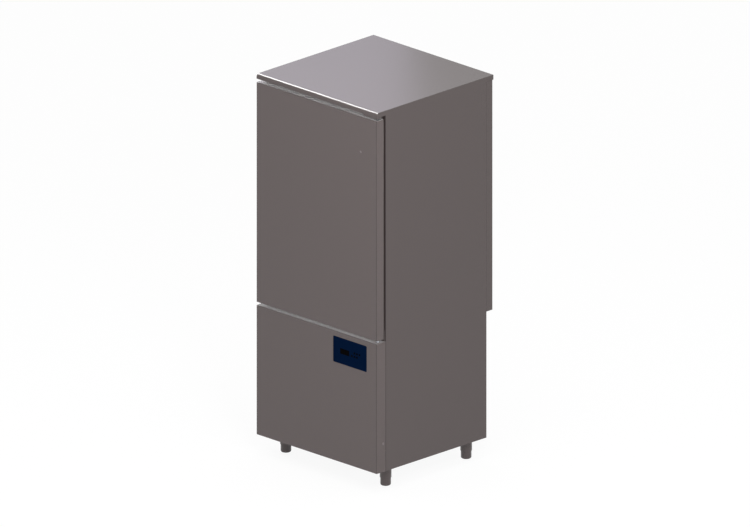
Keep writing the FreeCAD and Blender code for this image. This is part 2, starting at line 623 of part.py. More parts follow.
def rear_upper_cover():
    """Folded tray over the back of the insulated body."""
    outer = block(-SIDE, SIDE, SIDE_REAR_Y, BODY_REAR_Y, BODY_BOTTOM_Z, LIP_BOTTOM_Z)
    inner = block(-INNER_SIDE, INNER_SIDE, SIDE_REAR_Y, BODY_REAR_Y - SKIN,
                  BODY_BOTTOM_Z + SKIN, LIP_BOTTOM_Z - SKIN)
    folds = [e for e in edges_along(outer, Z_AXIS) if e.BoundBox.YMin > SIDE_REAR_Y + 1]
    return outer.makeFillet(BEND_RADIUS, folds).cut(inner)


def louvre_tool(inset, length):
    """Wedge of one louvre, drawn in from its outer faces and open below when inset."""
    top = LOUVRE_HEIGHT - 2 * inset
    out = LOUVRE_PROJECTION - inset
    return extruded([V(-length / 2, SIDE_REAR_Y - SKIN, -inset), V(-length / 2, SIDE_REAR_Y + out, -inset),
                     V(-length / 2, SIDE_REAR_Y + out, LOUVRE_PROJECTION / 3 - inset),
                     V(-length / 2, SIDE_REAR_Y - SKIN, top)], V(length, 0, 0))


def rear_lower_panel():
    """Louvred panel behind the machine compartment."""
    half = INNER_SIDE - FIT
    sheet = block(-half, half, SIDE_REAR_Y - SKIN, SIDE_REAR_Y, LEG_HEIGHT, BODY_BOTTOM_Z - FIT)
    hoods = []
    mouths = []
    for x in (LOUVRE_INSET - SIDE, SIDE - LOUVRE_INSET):
        for row in range(LOUVRE_ROWS):
            place = V(x, 0, CHASSIS_TOP_Z + LOUVRE_LOWEST + LOUVRE_PITCH * row)
            hoods.append(louvre_tool(0, LOUVRE_LENGTH).translated(place))
            mouths.append(louvre_tool(SKIN, LOUVRE_LENGTH - 2 * SKIN).translated(place))
    inlet = hexagon(GLAND_X, GLAND_Z, 0, REAR_Y, GLAND_SHANK_RADIUS + FIT)
    return fused(sheet, *hoods).cut([*mouths, inlet])


def panel_screws():
    upper = [hex_head(x, BODY_REAR_Y, z) for x, z in upper_screw_places()]
    lower = [hex_head(x, SIDE_REAR_Y, z) for x, z in lower_screw_places()]
    return upper + lower


def lower_front_panel():
    """Folded panel in front of the machine compartment, cut out for the controls."""
    outer = block(-SIDE, SIDE, FRONT_Y, BODY_FRONT_Y, LEG_HEIGHT, PANEL_TOP_Z)
    inner = block(-INNER_SIDE, INNER_SIDE, FRONT_Y + SKIN, BODY_FRONT_Y,
                  LEG_HEIGHT + SKIN, PANEL_TOP_Z - SKIN)
    notch = block(GASKET_OUTER + LEG_SEAL_GAP - FIT, SIDE - BRACKET_EDGE + FIT,
                  BODY_FRONT_Y - HINGE_LEG - FIT, BODY_FRONT_Y, PANEL_TOP_Z - SKIN, PANEL_TOP_Z)
    pin_hole = square_hole(PIVOT_X, PIVOT_Y, PIN_RADIUS, PANEL_TOP_Z - SKIN, PANEL_TOP_Z)
    window = fascia_form(FIT, FRONT_Y, FRONT_Y + SKIN)
    return softened_front(outer, FRONT_Y, BEND_RADIUS).cut([inner, notch, pin_hole, window])


def base_chassis():
    """Floor pan of the machine compartment, with air slots and a hole for the drain."""
    half = INNER_SIDE - FIT
    front = BODY_FRONT_Y + SKIN + FIT
    back = SIDE_REAR_Y - 2 * SKIN - 2 * FIT
    outer = block(-half, half, front, back, LEG_HEIGHT, LEG_HEIGHT + CHASSIS_FLANGE)
    inner = block(-half + CHASSIS_SHEET, half - CHASSIS_SHEET, front + CHASSIS_SHEET,
                  back - CHASSIS_SHEET, CHASSIS_TOP_Z, LEG_HEIGHT + CHASSIS_FLANGE)
    cuts = [inner]
    for i in range(INTAKE_SLOTS):
        y = front + INTAKE_START + INTAKE_PITCH * i
        cuts.append(block(-INTAKE_SLOT_LENGTH / 2, INTAKE_SLOT_LENGTH / 2, y, y + INTAKE_SLOT_WIDTH,
                          LEG_HEIGHT, CHASSIS_TOP_Z))
    cuts.append(square_hole(DRAIN_X, DRAIN_Y, DRAIN_RADIUS, LEG_HEIGHT, CHASSIS_TOP_Z))
    return outer.cut(cuts)


# ---- Controls ----

def fascia_form(grow, y0, y1):
    """Control panel's rounded outline as a block between two planes."""
    return rounded(fascia_block(grow, y0, y1), FASCIA_RADIUS + grow, Y_AXIS)


def fascia_block(grow, y0, y1):
    """The same outline with sharp corners, for the pieces behind it."""
    return block(FASCIA_LEFT - grow, FASCIA_RIGHT + grow, y0, y1,
                 FASCIA_BOTTOM_Z - grow, FASCIA_TOP_Z + grow)


def display_form(grow, y0, y1):
    """Display's outline as a block between two planes."""
    left = FASCIA_LEFT + DISPLAY_LEFT
    top = FASCIA_TOP_Z - DISPLAY_DROP
    return block(left - grow, left + DISPLAY_WIDTH + grow, y0, y1,
                 top - DISPLAY_HEIGHT - grow, top + grow)


def key_x(column):
    """X of a key's axis: the upper row starts one place to the right of the lower one."""
    return FASCIA_LEFT + KEY_FIRST + KEY_PITCH * column


def control_fascia():
    holes = []
    for column, z in KEYS.values():
        x = key_x(column)
        holes.append(bar(KEY_RADIUS + KEY_CLEARANCE, V(x, FASCIA_Y, z), V(x, FASCIA_BACK_Y, z)))
    display = display_form(FIT, FASCIA_Y, FASCIA_BACK_Y)
    return fascia_form(0, FASCIA_Y, FASCIA_BACK_Y).cut([display, *holes])


def display_window():
    return display_form(0, FASCIA_Y, FASCIA_Y + DISPLAY_THICKNESS)


def control_carrier():
    """Moulded frame behind the panel that holds the fascia and the board."""
    outer = fascia_block(CARRIER_LAP, FRONT_Y + SKIN, CARRIER_BACK_Y)
    pocket = fascia_block(FIT, FRONT_Y + SKIN, FASCIA_BACK_Y)
    well = fascia_block(-CARRIER_LEDGE / 2, FASCIA_BACK_Y, CARRIER_BACK_Y)
    return outer.cut([pocket, well])


def control_board():
    """Circuit board with the display module and one switch behind each key."""
    edge = -CARRIER_LEDGE / 2 - BOARD_GAP
    board = fascia_block(edge, BOARD_Y, BOARD_Y + BOARD_THICKNESS)
    pieces = [display_form(0, FASCIA_Y + DISPLAY_THICKNESS + FIT, BOARD_Y)]
    half = SWITCH_SIZE / 2
    for column, z in KEYS.values():
        x = key_x(column)
        pieces.append(block(x - half, x + half, SWITCH_Y, BOARD_Y, z - half, z + half))
    return fused(board, *pieces)


def key(column, z):
    """Round key: cap, square retaining flange behind the fascia, and stem."""
    x = key_x(column)
    cap = bar(KEY_RADIUS, V(x, FRONT_Y, z), V(x, KEY_FLANGE_Y, z))
    half = KEY_RADIUS + KEY_FLANGE
    back = KEY_FLANGE_Y + KEY_FLANGE_THICKNESS
    flange = block(x - half, x + half, KEY_FLANGE_Y, back, z - half, z + half)
    thin = KEY_STEM_WIDTH / 2
    stem = block(x - thin, x + thin, back, STEM_END_Y, z - thin, z + thin)
    return fused(cap, flange, stem)


def control_box():
    """Closed electrical housing under the insulated body."""
    right = INNER_SIDE - CONTROL_BOX_EDGE
    front = BODY_FRONT_Y + CONTROL_BOX_BACK
    return block(right - CONTROL_BOX_WIDTH, right, front, front + CONTROL_BOX_DEPTH,
                 BODY_BOTTOM_Z - CONTROL_BOX_HEIGHT, BODY_BOTTOM_Z)


# ---- Hinge and door ----

def top_hinge_plate():
    """Stepped plate under the lip, with a leg on the cabinet's front face."""
    right = SIDE - HINGE_PLATE_EDGE
    left = right - HINGE_PLATE_WIDTH
    front = FRONT_Y + HINGE_PLATE_FRONT
    base = LIP_BOTTOM_Z - HINGE_PLATE
    plate = extruded([V(left, front, base), V(right, front, base), V(right, front + HINGE_HEAD, base),
                      V(right - HINGE_STEP, front + HINGE_HEAD, base),
                      V(right - HINGE_STEP, BODY_FRONT_Y, base), V(left, BODY_FRONT_Y, base)],
                     V(0, 0, HINGE_PLATE))
    leg = block(left, right - HINGE_STEP, BODY_FRONT_Y - HINGE_LEG, BODY_FRONT_Y,
                GASKET_TOP_Z + LEG_SEAL_GAP, LIP_BOTTOM_Z)
    return fused(plate, leg)


def lower_hinge_bracket():
    """Upright leg on the cabinet's front face, and a tongue under the front panel's top."""
    right = SIDE - BRACKET_EDGE
    high = PANEL_TOP_Z - SKIN - FIT
    low = high - TONGUE_THICKNESS
    front = PIVOT_Y - TONGUE_WIDTH / 2 + BRACKET_EDGE
    tongue = block(right - TONGUE_WIDTH, right, front, BODY_FRONT_Y, low, high)
    leg = block(GASKET_OUTER + LEG_SEAL_GAP, right, BODY_FRONT_Y - HINGE_LEG, BODY_FRONT_Y,
                low, DOOR_BOTTOM_Z + LOWER_LEG_RISE)
    return fused(tongue, leg)


def hinge_pins():
    """Plain pin under the top plate, and a pin with a hexagonal shoulder on the lower tongue."""
    end = BUSH_LENGTH - PIN_END_GAP
    upper = bar(PIN_RADIUS, V(PIVOT_X, PIVOT_Y, DOOR_TOP_Z - end),
                V(PIVOT_X, PIVOT_Y, LIP_BOTTOM_Z - HINGE_PLATE))
    low = PANEL_TOP_Z - SKIN - FIT
    lower = bar(PIN_RADIUS, V(PIVOT_X, PIVOT_Y, low), V(PIVOT_X, PIVOT_Y, DOOR_BOTTOM_Z + end))
    corners = []
    for i in range(6):
        turn = math.radians(60 * i)
        corners.append(V(PIVOT_X + SHOULDER_RADIUS * math.cos(turn),
                         PIVOT_Y + SHOULDER_RADIUS * math.sin(turn), PANEL_TOP_Z))
    shoulder = extruded(corners, V(0, 0, GAP_BELOW_DOOR - SEAL_CLEARANCE))
    return [upper, fused(lower, shoulder)]


def bush_spaces(grow):
    """The two square bearing blocks' outlines, in the door's upper and lower edges."""
    half = BUSH_WIDTH / 2 + grow
    return [block(PIVOT_X - half, PIVOT_X + half, PIVOT_Y - half, PIVOT_Y + half, z, z + BUSH_LENGTH)
            for z in (DOOR_TOP_Z - BUSH_LENGTH, DOOR_BOTTOM_Z)]


def hinge_bushes():
    bore = bar(PIN_RADIUS + PIN_FIT, V(PIVOT_X, PIVOT_Y, DOOR_BOTTOM_Z), V(PIVOT_X, PIVOT_Y, DOOR_TOP_Z))
    return [bush.cut(bore) for bush in bush_spaces(0)]


def grip_space(inset):
    """Finger recess in the door's left edge, open to the left and the back."""
    recess = block(-SIDE, -SIDE + GRIP_DEPTH - inset, FRONT_Y + GRIP_FRONT + inset, DOOR_BACK_Y,
                   GRIP_BOTTOM_Z + inset, GRIP_TOP_Z - inset)
    corner = [e for e in edges_along(recess, Z_AXIS)
              if all(v.X > -SIDE + 1 and v.Y < DOOR_BACK_Y - 1 for v in e.Vertexes)]
    return recess.makeFillet(GRIP_DEPTH / 4 - inset, corner)


def door_grip():
    """Moulded lining of the finger recess."""
    return grip_space(0).cut(grip_space(GRIP_WALL))


def door_outer_skin():
    """Door's folded front, sides, top and bottom."""
    outer = block(-SIDE, SIDE, FRONT_Y, DOOR_BACK_Y, DOOR_BOTTOM_Z, DOOR_TOP_Z)
    inner = block(-INNER_SIDE, INNER_SIDE, FRONT_Y + SKIN, DOOR_BACK_Y,
                  DOOR_BOTTOM_Z + SKIN, DOOR_TOP_Z - SKIN)
    return softened_front(outer, FRONT_Y, BEND_RADIUS).cut([inner, grip_space(0), *bush_spaces(FIT)])


def dam_block(inset, y0):
    """Raised middle of the door's inner skin, drawn in from its outer faces."""
    half = CHAMBER_SIDE - DAM_INSET - inset
    return block(-half, half, y0, DOOR_BACK_Y + DAM_HEIGHT - inset,
                 CHAMBER_FLOOR_Z + DAM_INSET + inset, CHAMBER_TOP_Z - DAM_INSET - inset)


def door_inner_skin():
    """Door's pressed back sheet, raised inside the gasket."""
    back = DOOR_BACK_Y
    sheet = block(-INNER_SIDE + FIT, INNER_SIDE - FIT, back - SKIN, back,
                  DOOR_BOTTOM_Z + SKIN + FIT, DOOR_TOP_Z - SKIN - FIT)
    dam = softened_front(dam_block(0, back - SKIN), back + DAM_HEIGHT, BEND_RADIUS)
    return fused(sheet, dam).cut([dam_block(SKIN, back - SKIN), grip_space(0)])


def door_insulation():
    """Door's foam, which also fills the raised middle of its inner skin."""
    body = block(-INNER_SIDE, INNER_SIDE, FRONT_Y + SKIN, DOOR_BACK_Y - SKIN,
                 DOOR_BOTTOM_Z + SKIN, DOOR_TOP_Z - SKIN)
    fill = dam_block(SKIN, DOOR_BACK_Y - SKIN)
    return fused(body, fill).cut([grip_space(0), *bush_spaces(FIT)])


def door_gasket():
    """Magnetic gasket: wide foot, narrow neck and square head."""
    half = CHAMBER_SIDE + GASKET_OFFSET
    low = CHAMBER_FLOOR_Z - GASKET_OFFSET
    high = CHAMBER_TOP_Z + GASKET_OFFSET
    head_y = DOOR_BACK_Y + GASKET_BASE + (SEAL_GAP - GASKET_BASE) / 3
    seal_y = BODY_FRONT_Y - SEAL_CLEARANCE
    foot = frame_ring(half, low, high, GASKET_WIDTH, DOOR_BACK_Y, DOOR_BACK_Y + GASKET_BASE)
    third = GASKET_WIDTH / 3
    neck = frame_ring(half + third, low - third, high + third, third,
                      DOOR_BACK_Y + GASKET_BASE, head_y)
    tenth = GASKET_WIDTH / 10
    head = frame_ring(half + tenth, low - tenth, high + tenth, GASKET_WIDTH - 2 * tenth,
                      head_y, seal_y)
    return fused(foot, neck, head)


# ---- Chamber fittings ----

def rack_uprights():
    """Four channels on the chamber's side walls, open towards the wall."""
    low = CHAMBER_FLOOR_Z + UPRIGHT_END_GAP
    high = CHAMBER_TOP_Z - UPRIGHT_END_GAP
    face = CHAMBER_SIDE - UPRIGHT_DEPTH
    channels = []
    for back in (FRONT_UPRIGHT, REAR_UPRIGHT):
        y = BODY_FRONT_Y + back
        outer = block(face, CHAMBER_SIDE, y, y + UPRIGHT_WIDTH, low, high)
        inner = block(face + UPRIGHT_SHEET, CHAMBER_SIDE, y + UPRIGHT_SHEET,
                      y + UPRIGHT_WIDTH - UPRIGHT_SHEET, low, high)
        channel = outer.cut(inner)
        channels += [channel, mirrored(channel)]
    return channels


def tray_runners():
    """Pairs of angle rails, each a ledge with its flange turned down against the uprights."""
    wall = CHAMBER_SIDE - UPRIGHT_DEPTH
    y = BODY_FRONT_Y + RUNNER_START
    rails = []
    for level in range(RUNNER_COUNT):
        z = CHAMBER_FLOOR_Z + RUNNER_LOWEST + RUNNER_PITCH * level
        rail = extruded([V(wall - RUNNER_LEDGE, y, z), V(wall, y, z), V(wall, y, z - RUNNER_FLANGE),
                         V(wall - RUNNER_SHEET, y, z - RUNNER_FLANGE),
                         V(wall - RUNNER_SHEET, y, z - RUNNER_SHEET),
                         V(wall - RUNNER_LEDGE, y, z - RUNNER_SHEET)], V(0, RUNNER_LENGTH, 0))
        rails += [rail, mirrored(rail)]
    return rails


def probe_hole():
    """Recess for the food probe's socket in the right wall."""
    y = BODY_FRONT_Y + PROBE_BACK
    z = CHAMBER_TOP_Z - UPRIGHT_END_GAP - PROBE_DROP
    half = PROBE_BODY / 2 + FIT
    return block(CHAMBER_SIDE - FIT, CHAMBER_SIDE + WALL / 2 + FIT, y - half, y + half, z - half, z + half)


def probe_socket():
    """Flanged socket for the food probe, set in the right wall."""
    y = BODY_FRONT_Y + PROBE_BACK
    z = CHAMBER_TOP_Z - UPRIGHT_END_GAP - PROBE_DROP
    wide = PROBE_FLANGE / 2
    half = PROBE_BODY / 2
    flange = block(CHAMBER_SIDE - PROBE_PLATE, CHAMBER_SIDE, y - wide, y + wide, z - wide, z + wide)
    body = block(CHAMBER_SIDE, CHAMBER_SIDE + WALL / 2, y - half, y + half, z - half, z + half)
    return fused(flange, body)


def fan_heights():
    return [CHAMBER_FLOOR_Z + FAN_STEP * (i + 0.5) for i in range(FAN_COUNT)]


def fan_baffle():
    """Folded air panel in front of the coil, with a round opening for each fan."""
    low = CHAMBER_FLOOR_Z + FIT
    high = CHAMBER_TOP_Z - FIT
    half = CHAMBER_SIDE - BAFFLE_SIDE_GAP
    front = BAFFLE_Y + BAFFLE_SHEET
    outer = block(-half, half, BAFFLE_Y, BAFFLE_Y + BAFFLE_FLANGE, low, high)
    inner = block(-half + BAFFLE_SHEET, half - BAFFLE_SHEET, front, BAFFLE_Y + BAFFLE_FLANGE,
                  low + BAFFLE_SHEET, high - BAFFLE_SHEET)
    return outer.cut([inner] + [bar(FAN_OPENING, V(0, BAFFLE_Y, z), V(0, front, z)) for z in fan_heights()])


def fan_guards():
    """Welded grille over each fan opening: frame bars, level bars, and upright ties behind them."""
    half = FAN_OPENING + GUARD_LAP
    inner = half - GUARD_FRAME
    thin = GUARD_BAR / 2
    y = BAFFLE_Y - GUARD_BAR
    middle = BAFFLE_Y - thin
    rods = []
    for z in fan_heights():
        for edge in (-half, inner):
            rods.append(block(-half, half, y, BAFFLE_Y, z + edge, z + edge + GUARD_FRAME))
            rods.append(block(edge, edge + GUARD_FRAME, y, BAFFLE_Y, z - inner, z + inner))
        for i in range(GUARD_BARS):
            level = z - half + 2 * half * (i + 1) / (GUARD_BARS + 1)
            rods.append(block(-inner, inner, y, middle, level - thin, level + thin))
        for i in range(GUARD_TIES):
            x = -half + 2 * half * (i + 1) / (GUARD_TIES + 1)
            rods.append(block(x - thin, x + thin, middle, BAFFLE_Y, z - inner, z + inner))
    return rods


def motor(x, y, z, radius, length, arm_reach, panel_y):
    """Fan motor with a bored nose and cranked arms that reach forwards to a panel."""
    pieces = [bar(radius, V(x, y, z), V(x, y + length, z))]
    arm_y = y + length / 3
    spread = block(x, x + arm_reach + ARM_THICKNESS, arm_y, arm_y + ARM_THICKNESS,
                   z - ARM_WIDTH / 2, z + ARM_WIDTH / 2)
    reach = block(x + arm_reach, x + arm_reach + ARM_THICKNESS, panel_y, arm_y,
                  z - ARM_WIDTH / 2, z + ARM_WIDTH / 2)
    arm = fused(spread, reach)
    step = 360 / MOTOR_ARMS
    pieces += [arm.rotated(V(x, y, z), Y_AXIS, step * i - 90) for i in range(MOTOR_ARMS)]
    bore = bar(FAN_SHAFT_RADIUS + 2 * PIN_FIT, V(x, y, z), V(x, y + FAN_SHAFT_REACH, z))
    return fused(*pieces).cut(bore)


def fan_motors():
    reach = FAN_OPENING + GUARD_LAP
    return [motor(0, MOTOR_FRONT_Y, z, FAN_MOTOR_RADIUS, FAN_MOTOR_LENGTH, reach,
                  BAFFLE_Y + BAFFLE_SHEET) for z in fan_heights()]


def chamber_fan(z):
    """Fan wheel of one chamber fan, with its shaft in the motor."""
    reach = FAN_BACK_GAP + FAN_SHAFT_REACH - FIT
    wheel = impeller(FAN_RADIUS, FAN_HUB_RADIUS, FAN_HUB_DEPTH, FAN_BLADES, reach)
    return wheel.translated(V(0, HUB_FRONT_Y, z))


def evaporator_coil():
    half = EVAPORATOR_HALF
    core = finned_block(-half, half, COIL_FRONT_Y, COIL_REAR_Y, COIL_BOTTOM_Z, COIL_TOP_Z,
                        EVAPORATOR_FIN_PITCH)
    bends = return_bends(half + COIL_END_PLATE, COIL_FRONT_Y, COIL_REAR_Y,
                         COIL_BOTTOM_Z, COIL_TOP_Z, EVAPORATOR_BENDS)
    return [core, *bends]


def evaporator_end_plates():
    """Plates at the coil's ends, which carry it on the chamber's rear wall."""
    half = EVAPORATOR_HALF
    plate = block(half, half + COIL_END_PLATE, COIL_FRONT_Y - COIL_LIP, CHAMBER_REAR_Y,
                  COIL_BOTTOM_Z - COIL_LIP, COIL_TOP_Z + COIL_LIP)
    return [plate, mirrored(plate)]


def drip_tray():
    """Shallow tray on the chamber's floor under the coil."""
    half = EVAPORATOR_HALF + COIL_END_PLATE + DRIP_TRAY_OVERHANG
    front = COIL_FRONT_Y - DRIP_TRAY_OVERHANG
    back = CHAMBER_REAR_Y - TRAY_BACK_GAP
    top = CHAMBER_FLOOR_Z + DRIP_TRAY_HEIGHT
    sheet = DRIP_TRAY_SHEET
    outer = block(-half, half, front, back, CHAMBER_FLOOR_Z, top)
    inner = block(-half + sheet, half - sheet, front + sheet, back - sheet,
                  CHAMBER_FLOOR_Z + sheet, top)
    drain = bar(DRAIN_RADIUS - DRAIN_WALL, V(DRAIN_X, DRAIN_Y, CHAMBER_FLOOR_Z),
                V(DRAIN_X, DRAIN_Y, CHAMBER_FLOOR_Z + sheet))
    return outer.cut([inner, drain])


def drain_pipe():
    """Upright tube from the drip tray to a thicker spigot under the cabinet."""
    top = V(DRAIN_X, DRAIN_Y, CHAMBER_FLOOR_Z)
    shoulder = V(DRAIN_X, DRAIN_Y, LEG_HEIGHT - FIT)
    end = shoulder - Z_AXIS * SPIGOT_LENGTH
    tube = fused(bar(DRAIN_RADIUS, shoulder, top), bar(SPIGOT_RADIUS, end, shoulder))
    return tube.cut(bar(DRAIN_RADIUS - DRAIN_WALL, end, top))


# ---- Machine compartment ----

def compressor():
    """Hermetic compressor: shell in two welded halves, foot plate and terminal cover."""
    seam = COMPRESSOR_BASE_Z + COMPRESSOR_SEAM
    lower = Part.makeCylinder(COMPRESSOR_RADIUS, COMPRESSOR_SEAM, V(0, 0, COMPRESSOR_BASE_Z))
    upper = Part.makeCylinder(COMPRESSOR_RADIUS - COMPRESSOR_STEP, COMPRESSOR_TOP_Z - seam, V(0, 0, seam))
    foot = COMPRESSOR_FOOT
    plate = block(-foot, foot, -foot, foot, COMPRESSOR_BASE_Z, COMPRESSOR_BASE_Z + COMPRESSOR_FOOT_PLATE)
    cover = block(-TERMINAL_WIDTH / 2, TERMINAL_WIDTH / 2, -COMPRESSOR_RADIUS - TERMINAL_DEPTH / 2,
                  -COMPRESSOR_RADIUS + TERMINAL_DEPTH / 2, seam - TERMINAL_HEIGHT, seam)
    return fused(lower, upper, plate, cover).translated(V(COMPRESSOR_X, COMPRESSOR_Y, 0))


def compressor_mounts():
    """Four rubber blocks under the compressor's foot plate."""
    reach = COMPRESSOR_FOOT - MOUNT_INSET
    half = MOUNT_WIDTH / 2
    places = [(COMPRESSOR_X + x, COMPRESSOR_Y + y) for x in (-reach, reach) for y in (-reach, reach)]
    return [block(x - half, x + half, y - half, y + half, CHASSIS_TOP_Z, COMPRESSOR_BASE_Z) for x, y in places]


def condenser_coil():
    core = finned_block(CONDENSER_X0, CONDENSER_X1, CONDENSER_FRONT_Y, CONDENSER_REAR_Y,
                        CHASSIS_TOP_Z, CONDENSER_TOP_Z, CONDENSER_FIN_PITCH)
    bends = return_bends(CONDENSER_X1 + COIL_END_PLATE, CONDENSER_FRONT_Y, CONDENSER_REAR_Y,
                         CHASSIS_TOP_Z + COIL_TUBE_RADIUS, CONDENSER_TOP_Z, CONDENSER_BENDS)
    return [core, *bends]


def condenser_end_plates():
    right = block(CONDENSER_X1, CONDENSER_X1 + COIL_END_PLATE, CONDENSER_FRONT_Y,
                  CONDENSER_REAR_Y + COIL_LIP, CHASSIS_TOP_Z, CONDENSER_TOP_Z + COIL_LIP)
    return [right, right.translated(V(CONDENSER_X0 - COIL_END_PLATE - CONDENSER_X1, 0, 0))]


def condenser_shroud():
    """Air box on the condenser's front, with a round mouth for its fan."""
    outer = block(CONDENSER_X0, CONDENSER_X1, SHROUD_Y, CONDENSER_FRONT_Y, CHASSIS_TOP_Z, CONDENSER_TOP_Z)
    sheet = SHROUD_SHEET
    inner = block(CONDENSER_X0 + sheet, CONDENSER_X1 - sheet, SHROUD_Y + sheet, CONDENSER_FRONT_Y,
                  CHASSIS_TOP_Z + sheet, CONDENSER_TOP_Z - sheet)
    centre = V(CONDENSER_FAN_X, SHROUD_Y, CONDENSER_FAN_Z)
    mouth = bar(CONDENSER_FAN_RADIUS + FAN_TIP_GAP, centre, centre + V(0, sheet, 0))
    return outer.cut([inner, mouth])


def condenser_fan_motor():
    """Motor in front of the condenser's fan, on arms that reach back to the shroud."""
    centre = V(CONDENSER_FAN_X, CONDENSER_FAN_Y - FAN_BACK_GAP, CONDENSER_FAN_Z)
    gap = CONDENSER_FAN_Y - FAN_BACK_GAP - SHROUD_Y
    facing = motor(0, 0, 0, CONDENSER_MOTOR_RADIUS, CONDENSER_MOTOR_LENGTH,
                   CONDENSER_FAN_RADIUS + FAN_TIP_GAP, gap)
    return facing.rotated(V(0, 0, 0), Z_AXIS, 180).translated(centre)


def condenser_fan():
    """Condenser's fan wheel, whose shaft runs forwards into its motor."""
    reach = FAN_BACK_GAP + FAN_SHAFT_REACH - FIT
    wheel = impeller(CONDENSER_FAN_RADIUS, CONDENSER_HUB_RADIUS, CONDENSER_HUB_DEPTH, FAN_BLADES, reach)
    place = V(CONDENSER_FAN_X, CONDENSER_FAN_Y + CONDENSER_HUB_DEPTH, CONDENSER_FAN_Z)
    return wheel.rotated(V(0, 0, 0), Z_AXIS, 180).translated(place)


def liquid_receiver():
    """Upright vessel on the chassis."""
    return Part.makeCylinder(RECEIVER_RADIUS, RECEIVER_HEIGHT, V(RECEIVER_X, RECEIVER_Y, CHASSIS_TOP_Z))


def drier_x():
    """X of the filter drier's left end: the receiver's outlet pipe turns into it."""
    return RECEIVER_X + 2 * PIPE_BEND


def filter_drier():
    """Small round vessel in the liquid pipe."""
    return bar(DRIER_RADIUS, V(drier_x(), RECEIVER_Y, DRIER_Z), V(drier_x() + DRIER_LENGTH, RECEIVER_Y, DRIER_Z))


def refrigerant_pipes():
    """Hot gas, condensate, charge, liquid and suction pipes, each from one vessel to the next."""
    stub = V(COMPRESSOR_X, COMPRESSOR_Y, COMPRESSOR_TOP_Z)
    gas_z = max(stub.z, CONDENSER_TOP_Z) + 2 * PIPE_BEND
    plate_x = CONDENSER_X1 + COIL_END_PLATE
    riser_x = plate_x + 2 * PIPE_BEND
    port_y = CONDENSER_FRONT_Y + CONDENSER_DEPTH / 2
    high_port = CONDENSER_TOP_Z - 2 * COIL_TUBE_RADIUS
    hot_gas = [stub, V(stub.x, stub.y, gas_z), V(riser_x, stub.y, gas_z), V(riser_x, port_y, gas_z),
               V(riser_x, port_y, high_port), V(plate_x, port_y, high_port)]
    inlet = V(RECEIVER_X + RECEIVER_RADIUS, RECEIVER_Y, RECEIVER_INLET_Z)
    condensate = [V(plate_x, port_y, inlet.z), V(riser_x, port_y, inlet.z), V(riser_x, inlet.y, inlet.z), inlet]
    outlet = V(RECEIVER_X, RECEIVER_Y, RECEIVER_TOP_Z)
    charge = [outlet, V(outlet.x, outlet.y, DRIER_Z), V(drier_x(), outlet.y, DRIER_Z)]
    liquid_y = PIPE_SHAFT_Y - PIPE_SPACING / 2
    suction_y = PIPE_SHAFT_Y + PIPE_SPACING / 2
    coil_x = EVAPORATOR_HALF + COIL_END_PLATE
    coil_low = COIL_BOTTOM_Z + 4 * COIL_TUBE_RADIUS
    coil_high = coil_low + 4 * COIL_TUBE_RADIUS
    liquid = [V(drier_x() + DRIER_LENGTH, RECEIVER_Y, DRIER_Z), V(PIPE_SHAFT_X, RECEIVER_Y, DRIER_Z),
              V(PIPE_SHAFT_X, liquid_y, DRIER_Z), V(PIPE_SHAFT_X, liquid_y, coil_low),
              V(coil_x, liquid_y, coil_low)]
    waist = COMPRESSOR_BASE_Z + COMPRESSOR_SEAM / 2
    suction = [V(COMPRESSOR_X + COMPRESSOR_RADIUS, COMPRESSOR_Y, waist), V(PIPE_SHAFT_X, COMPRESSOR_Y, waist),
               V(PIPE_SHAFT_X, suction_y, waist), V(PIPE_SHAFT_X, suction_y, coil_high),
               V(coil_x, suction_y, coil_high)]
    small = [bent_bar(route, PIPE_BEND, LIQUID_RADIUS) for route in (hot_gas, condensate, charge, liquid)]
    return small + [bent_bar(suction, PIPE_BEND, SUCTION_RADIUS)]


def cable_gland():
    """Mains inlet in the rear panel: hexagonal shank and nut with a round bore."""
    inside = SIDE_REAR_Y - SKIN - GLAND_HEX_LENGTH
    out = SIDE_REAR_Y + GLAND_CAP_LENGTH
    shank = hexagon(GLAND_X, GLAND_Z, inside, SIDE_REAR_Y, GLAND_SHANK_RADIUS)
    nut = hexagon(GLAND_X, GLAND_Z, SIDE_REAR_Y, out, GLAND_HEX_RADIUS)
    return fused(shank, nut).cut(bar(GLAND_BORE, V(GLAND_X, inside, GLAND_Z), V(GLAND_X, out, GLAND_Z)))


# ---- Feet ----

def foot_sleeves():
    """Fixed socket of each levelling foot, closed at its top."""
    low = LEG_HEIGHT - SLEEVE_HEIGHT
    sleeves = []
    for x, y in FEET.values():
        outer = Part.makeCylinder(SLEEVE_RADIUS, SLEEVE_HEIGHT, V(x, y, low))
        hollow = Part.makeCylinder(FOOT_RADIUS + FOOT_THREAD_FIT, SLEEVE_HEIGHT - SLEEVE_WEB, V(x, y, low))
        sleeves.append(outer.cut(hollow))
    return sleeves


def foot(x, y):
    """Turning foot, threaded in its sleeve."""
    return Part.makeCylinder(FOOT_RADIUS, FOOT_BODY, V(x, y, 0))


# ---- Write every sub-part ----

save("outer_wrap", outer_wrap())
save("insulation", insulation())
save("chamber_liner", chamber_liner())
save("front_frame", front_frame())
save("breaker_strip", breaker_strip())
save("rear_upper_cover", rear_upper_cover())
save("rear_lower_panel", rear_lower_panel())
save("panel_screws", *panel_screws())
save("body_underside", body_underside())
save("base_chassis", base_chassis())
save("lower_front_panel", lower_front_panel())
save("control_carrier", control_carrier())
save("control_fascia", control_fascia())
save("display_window", display_window())
save("control_board", control_board())
save("control_box", control_box())
save("top_hinge_plate", top_hinge_plate())
save("lower_hinge_bracket", lower_hinge_bracket())
save("hinge_pins", *hinge_pins())
save("hinge_bushes", *hinge_bushes())
save("door_outer_skin", door_outer_skin())
save("door_insulation", door_insulation())
save("door_inner_skin", door_inner_skin())
save("door_gasket", door_gasket())
save("door_grip", door_grip())
save("rack_uprights", *rack_uprights())
save("tray_runners", *tray_runners())
save("probe_socket", probe_socket())
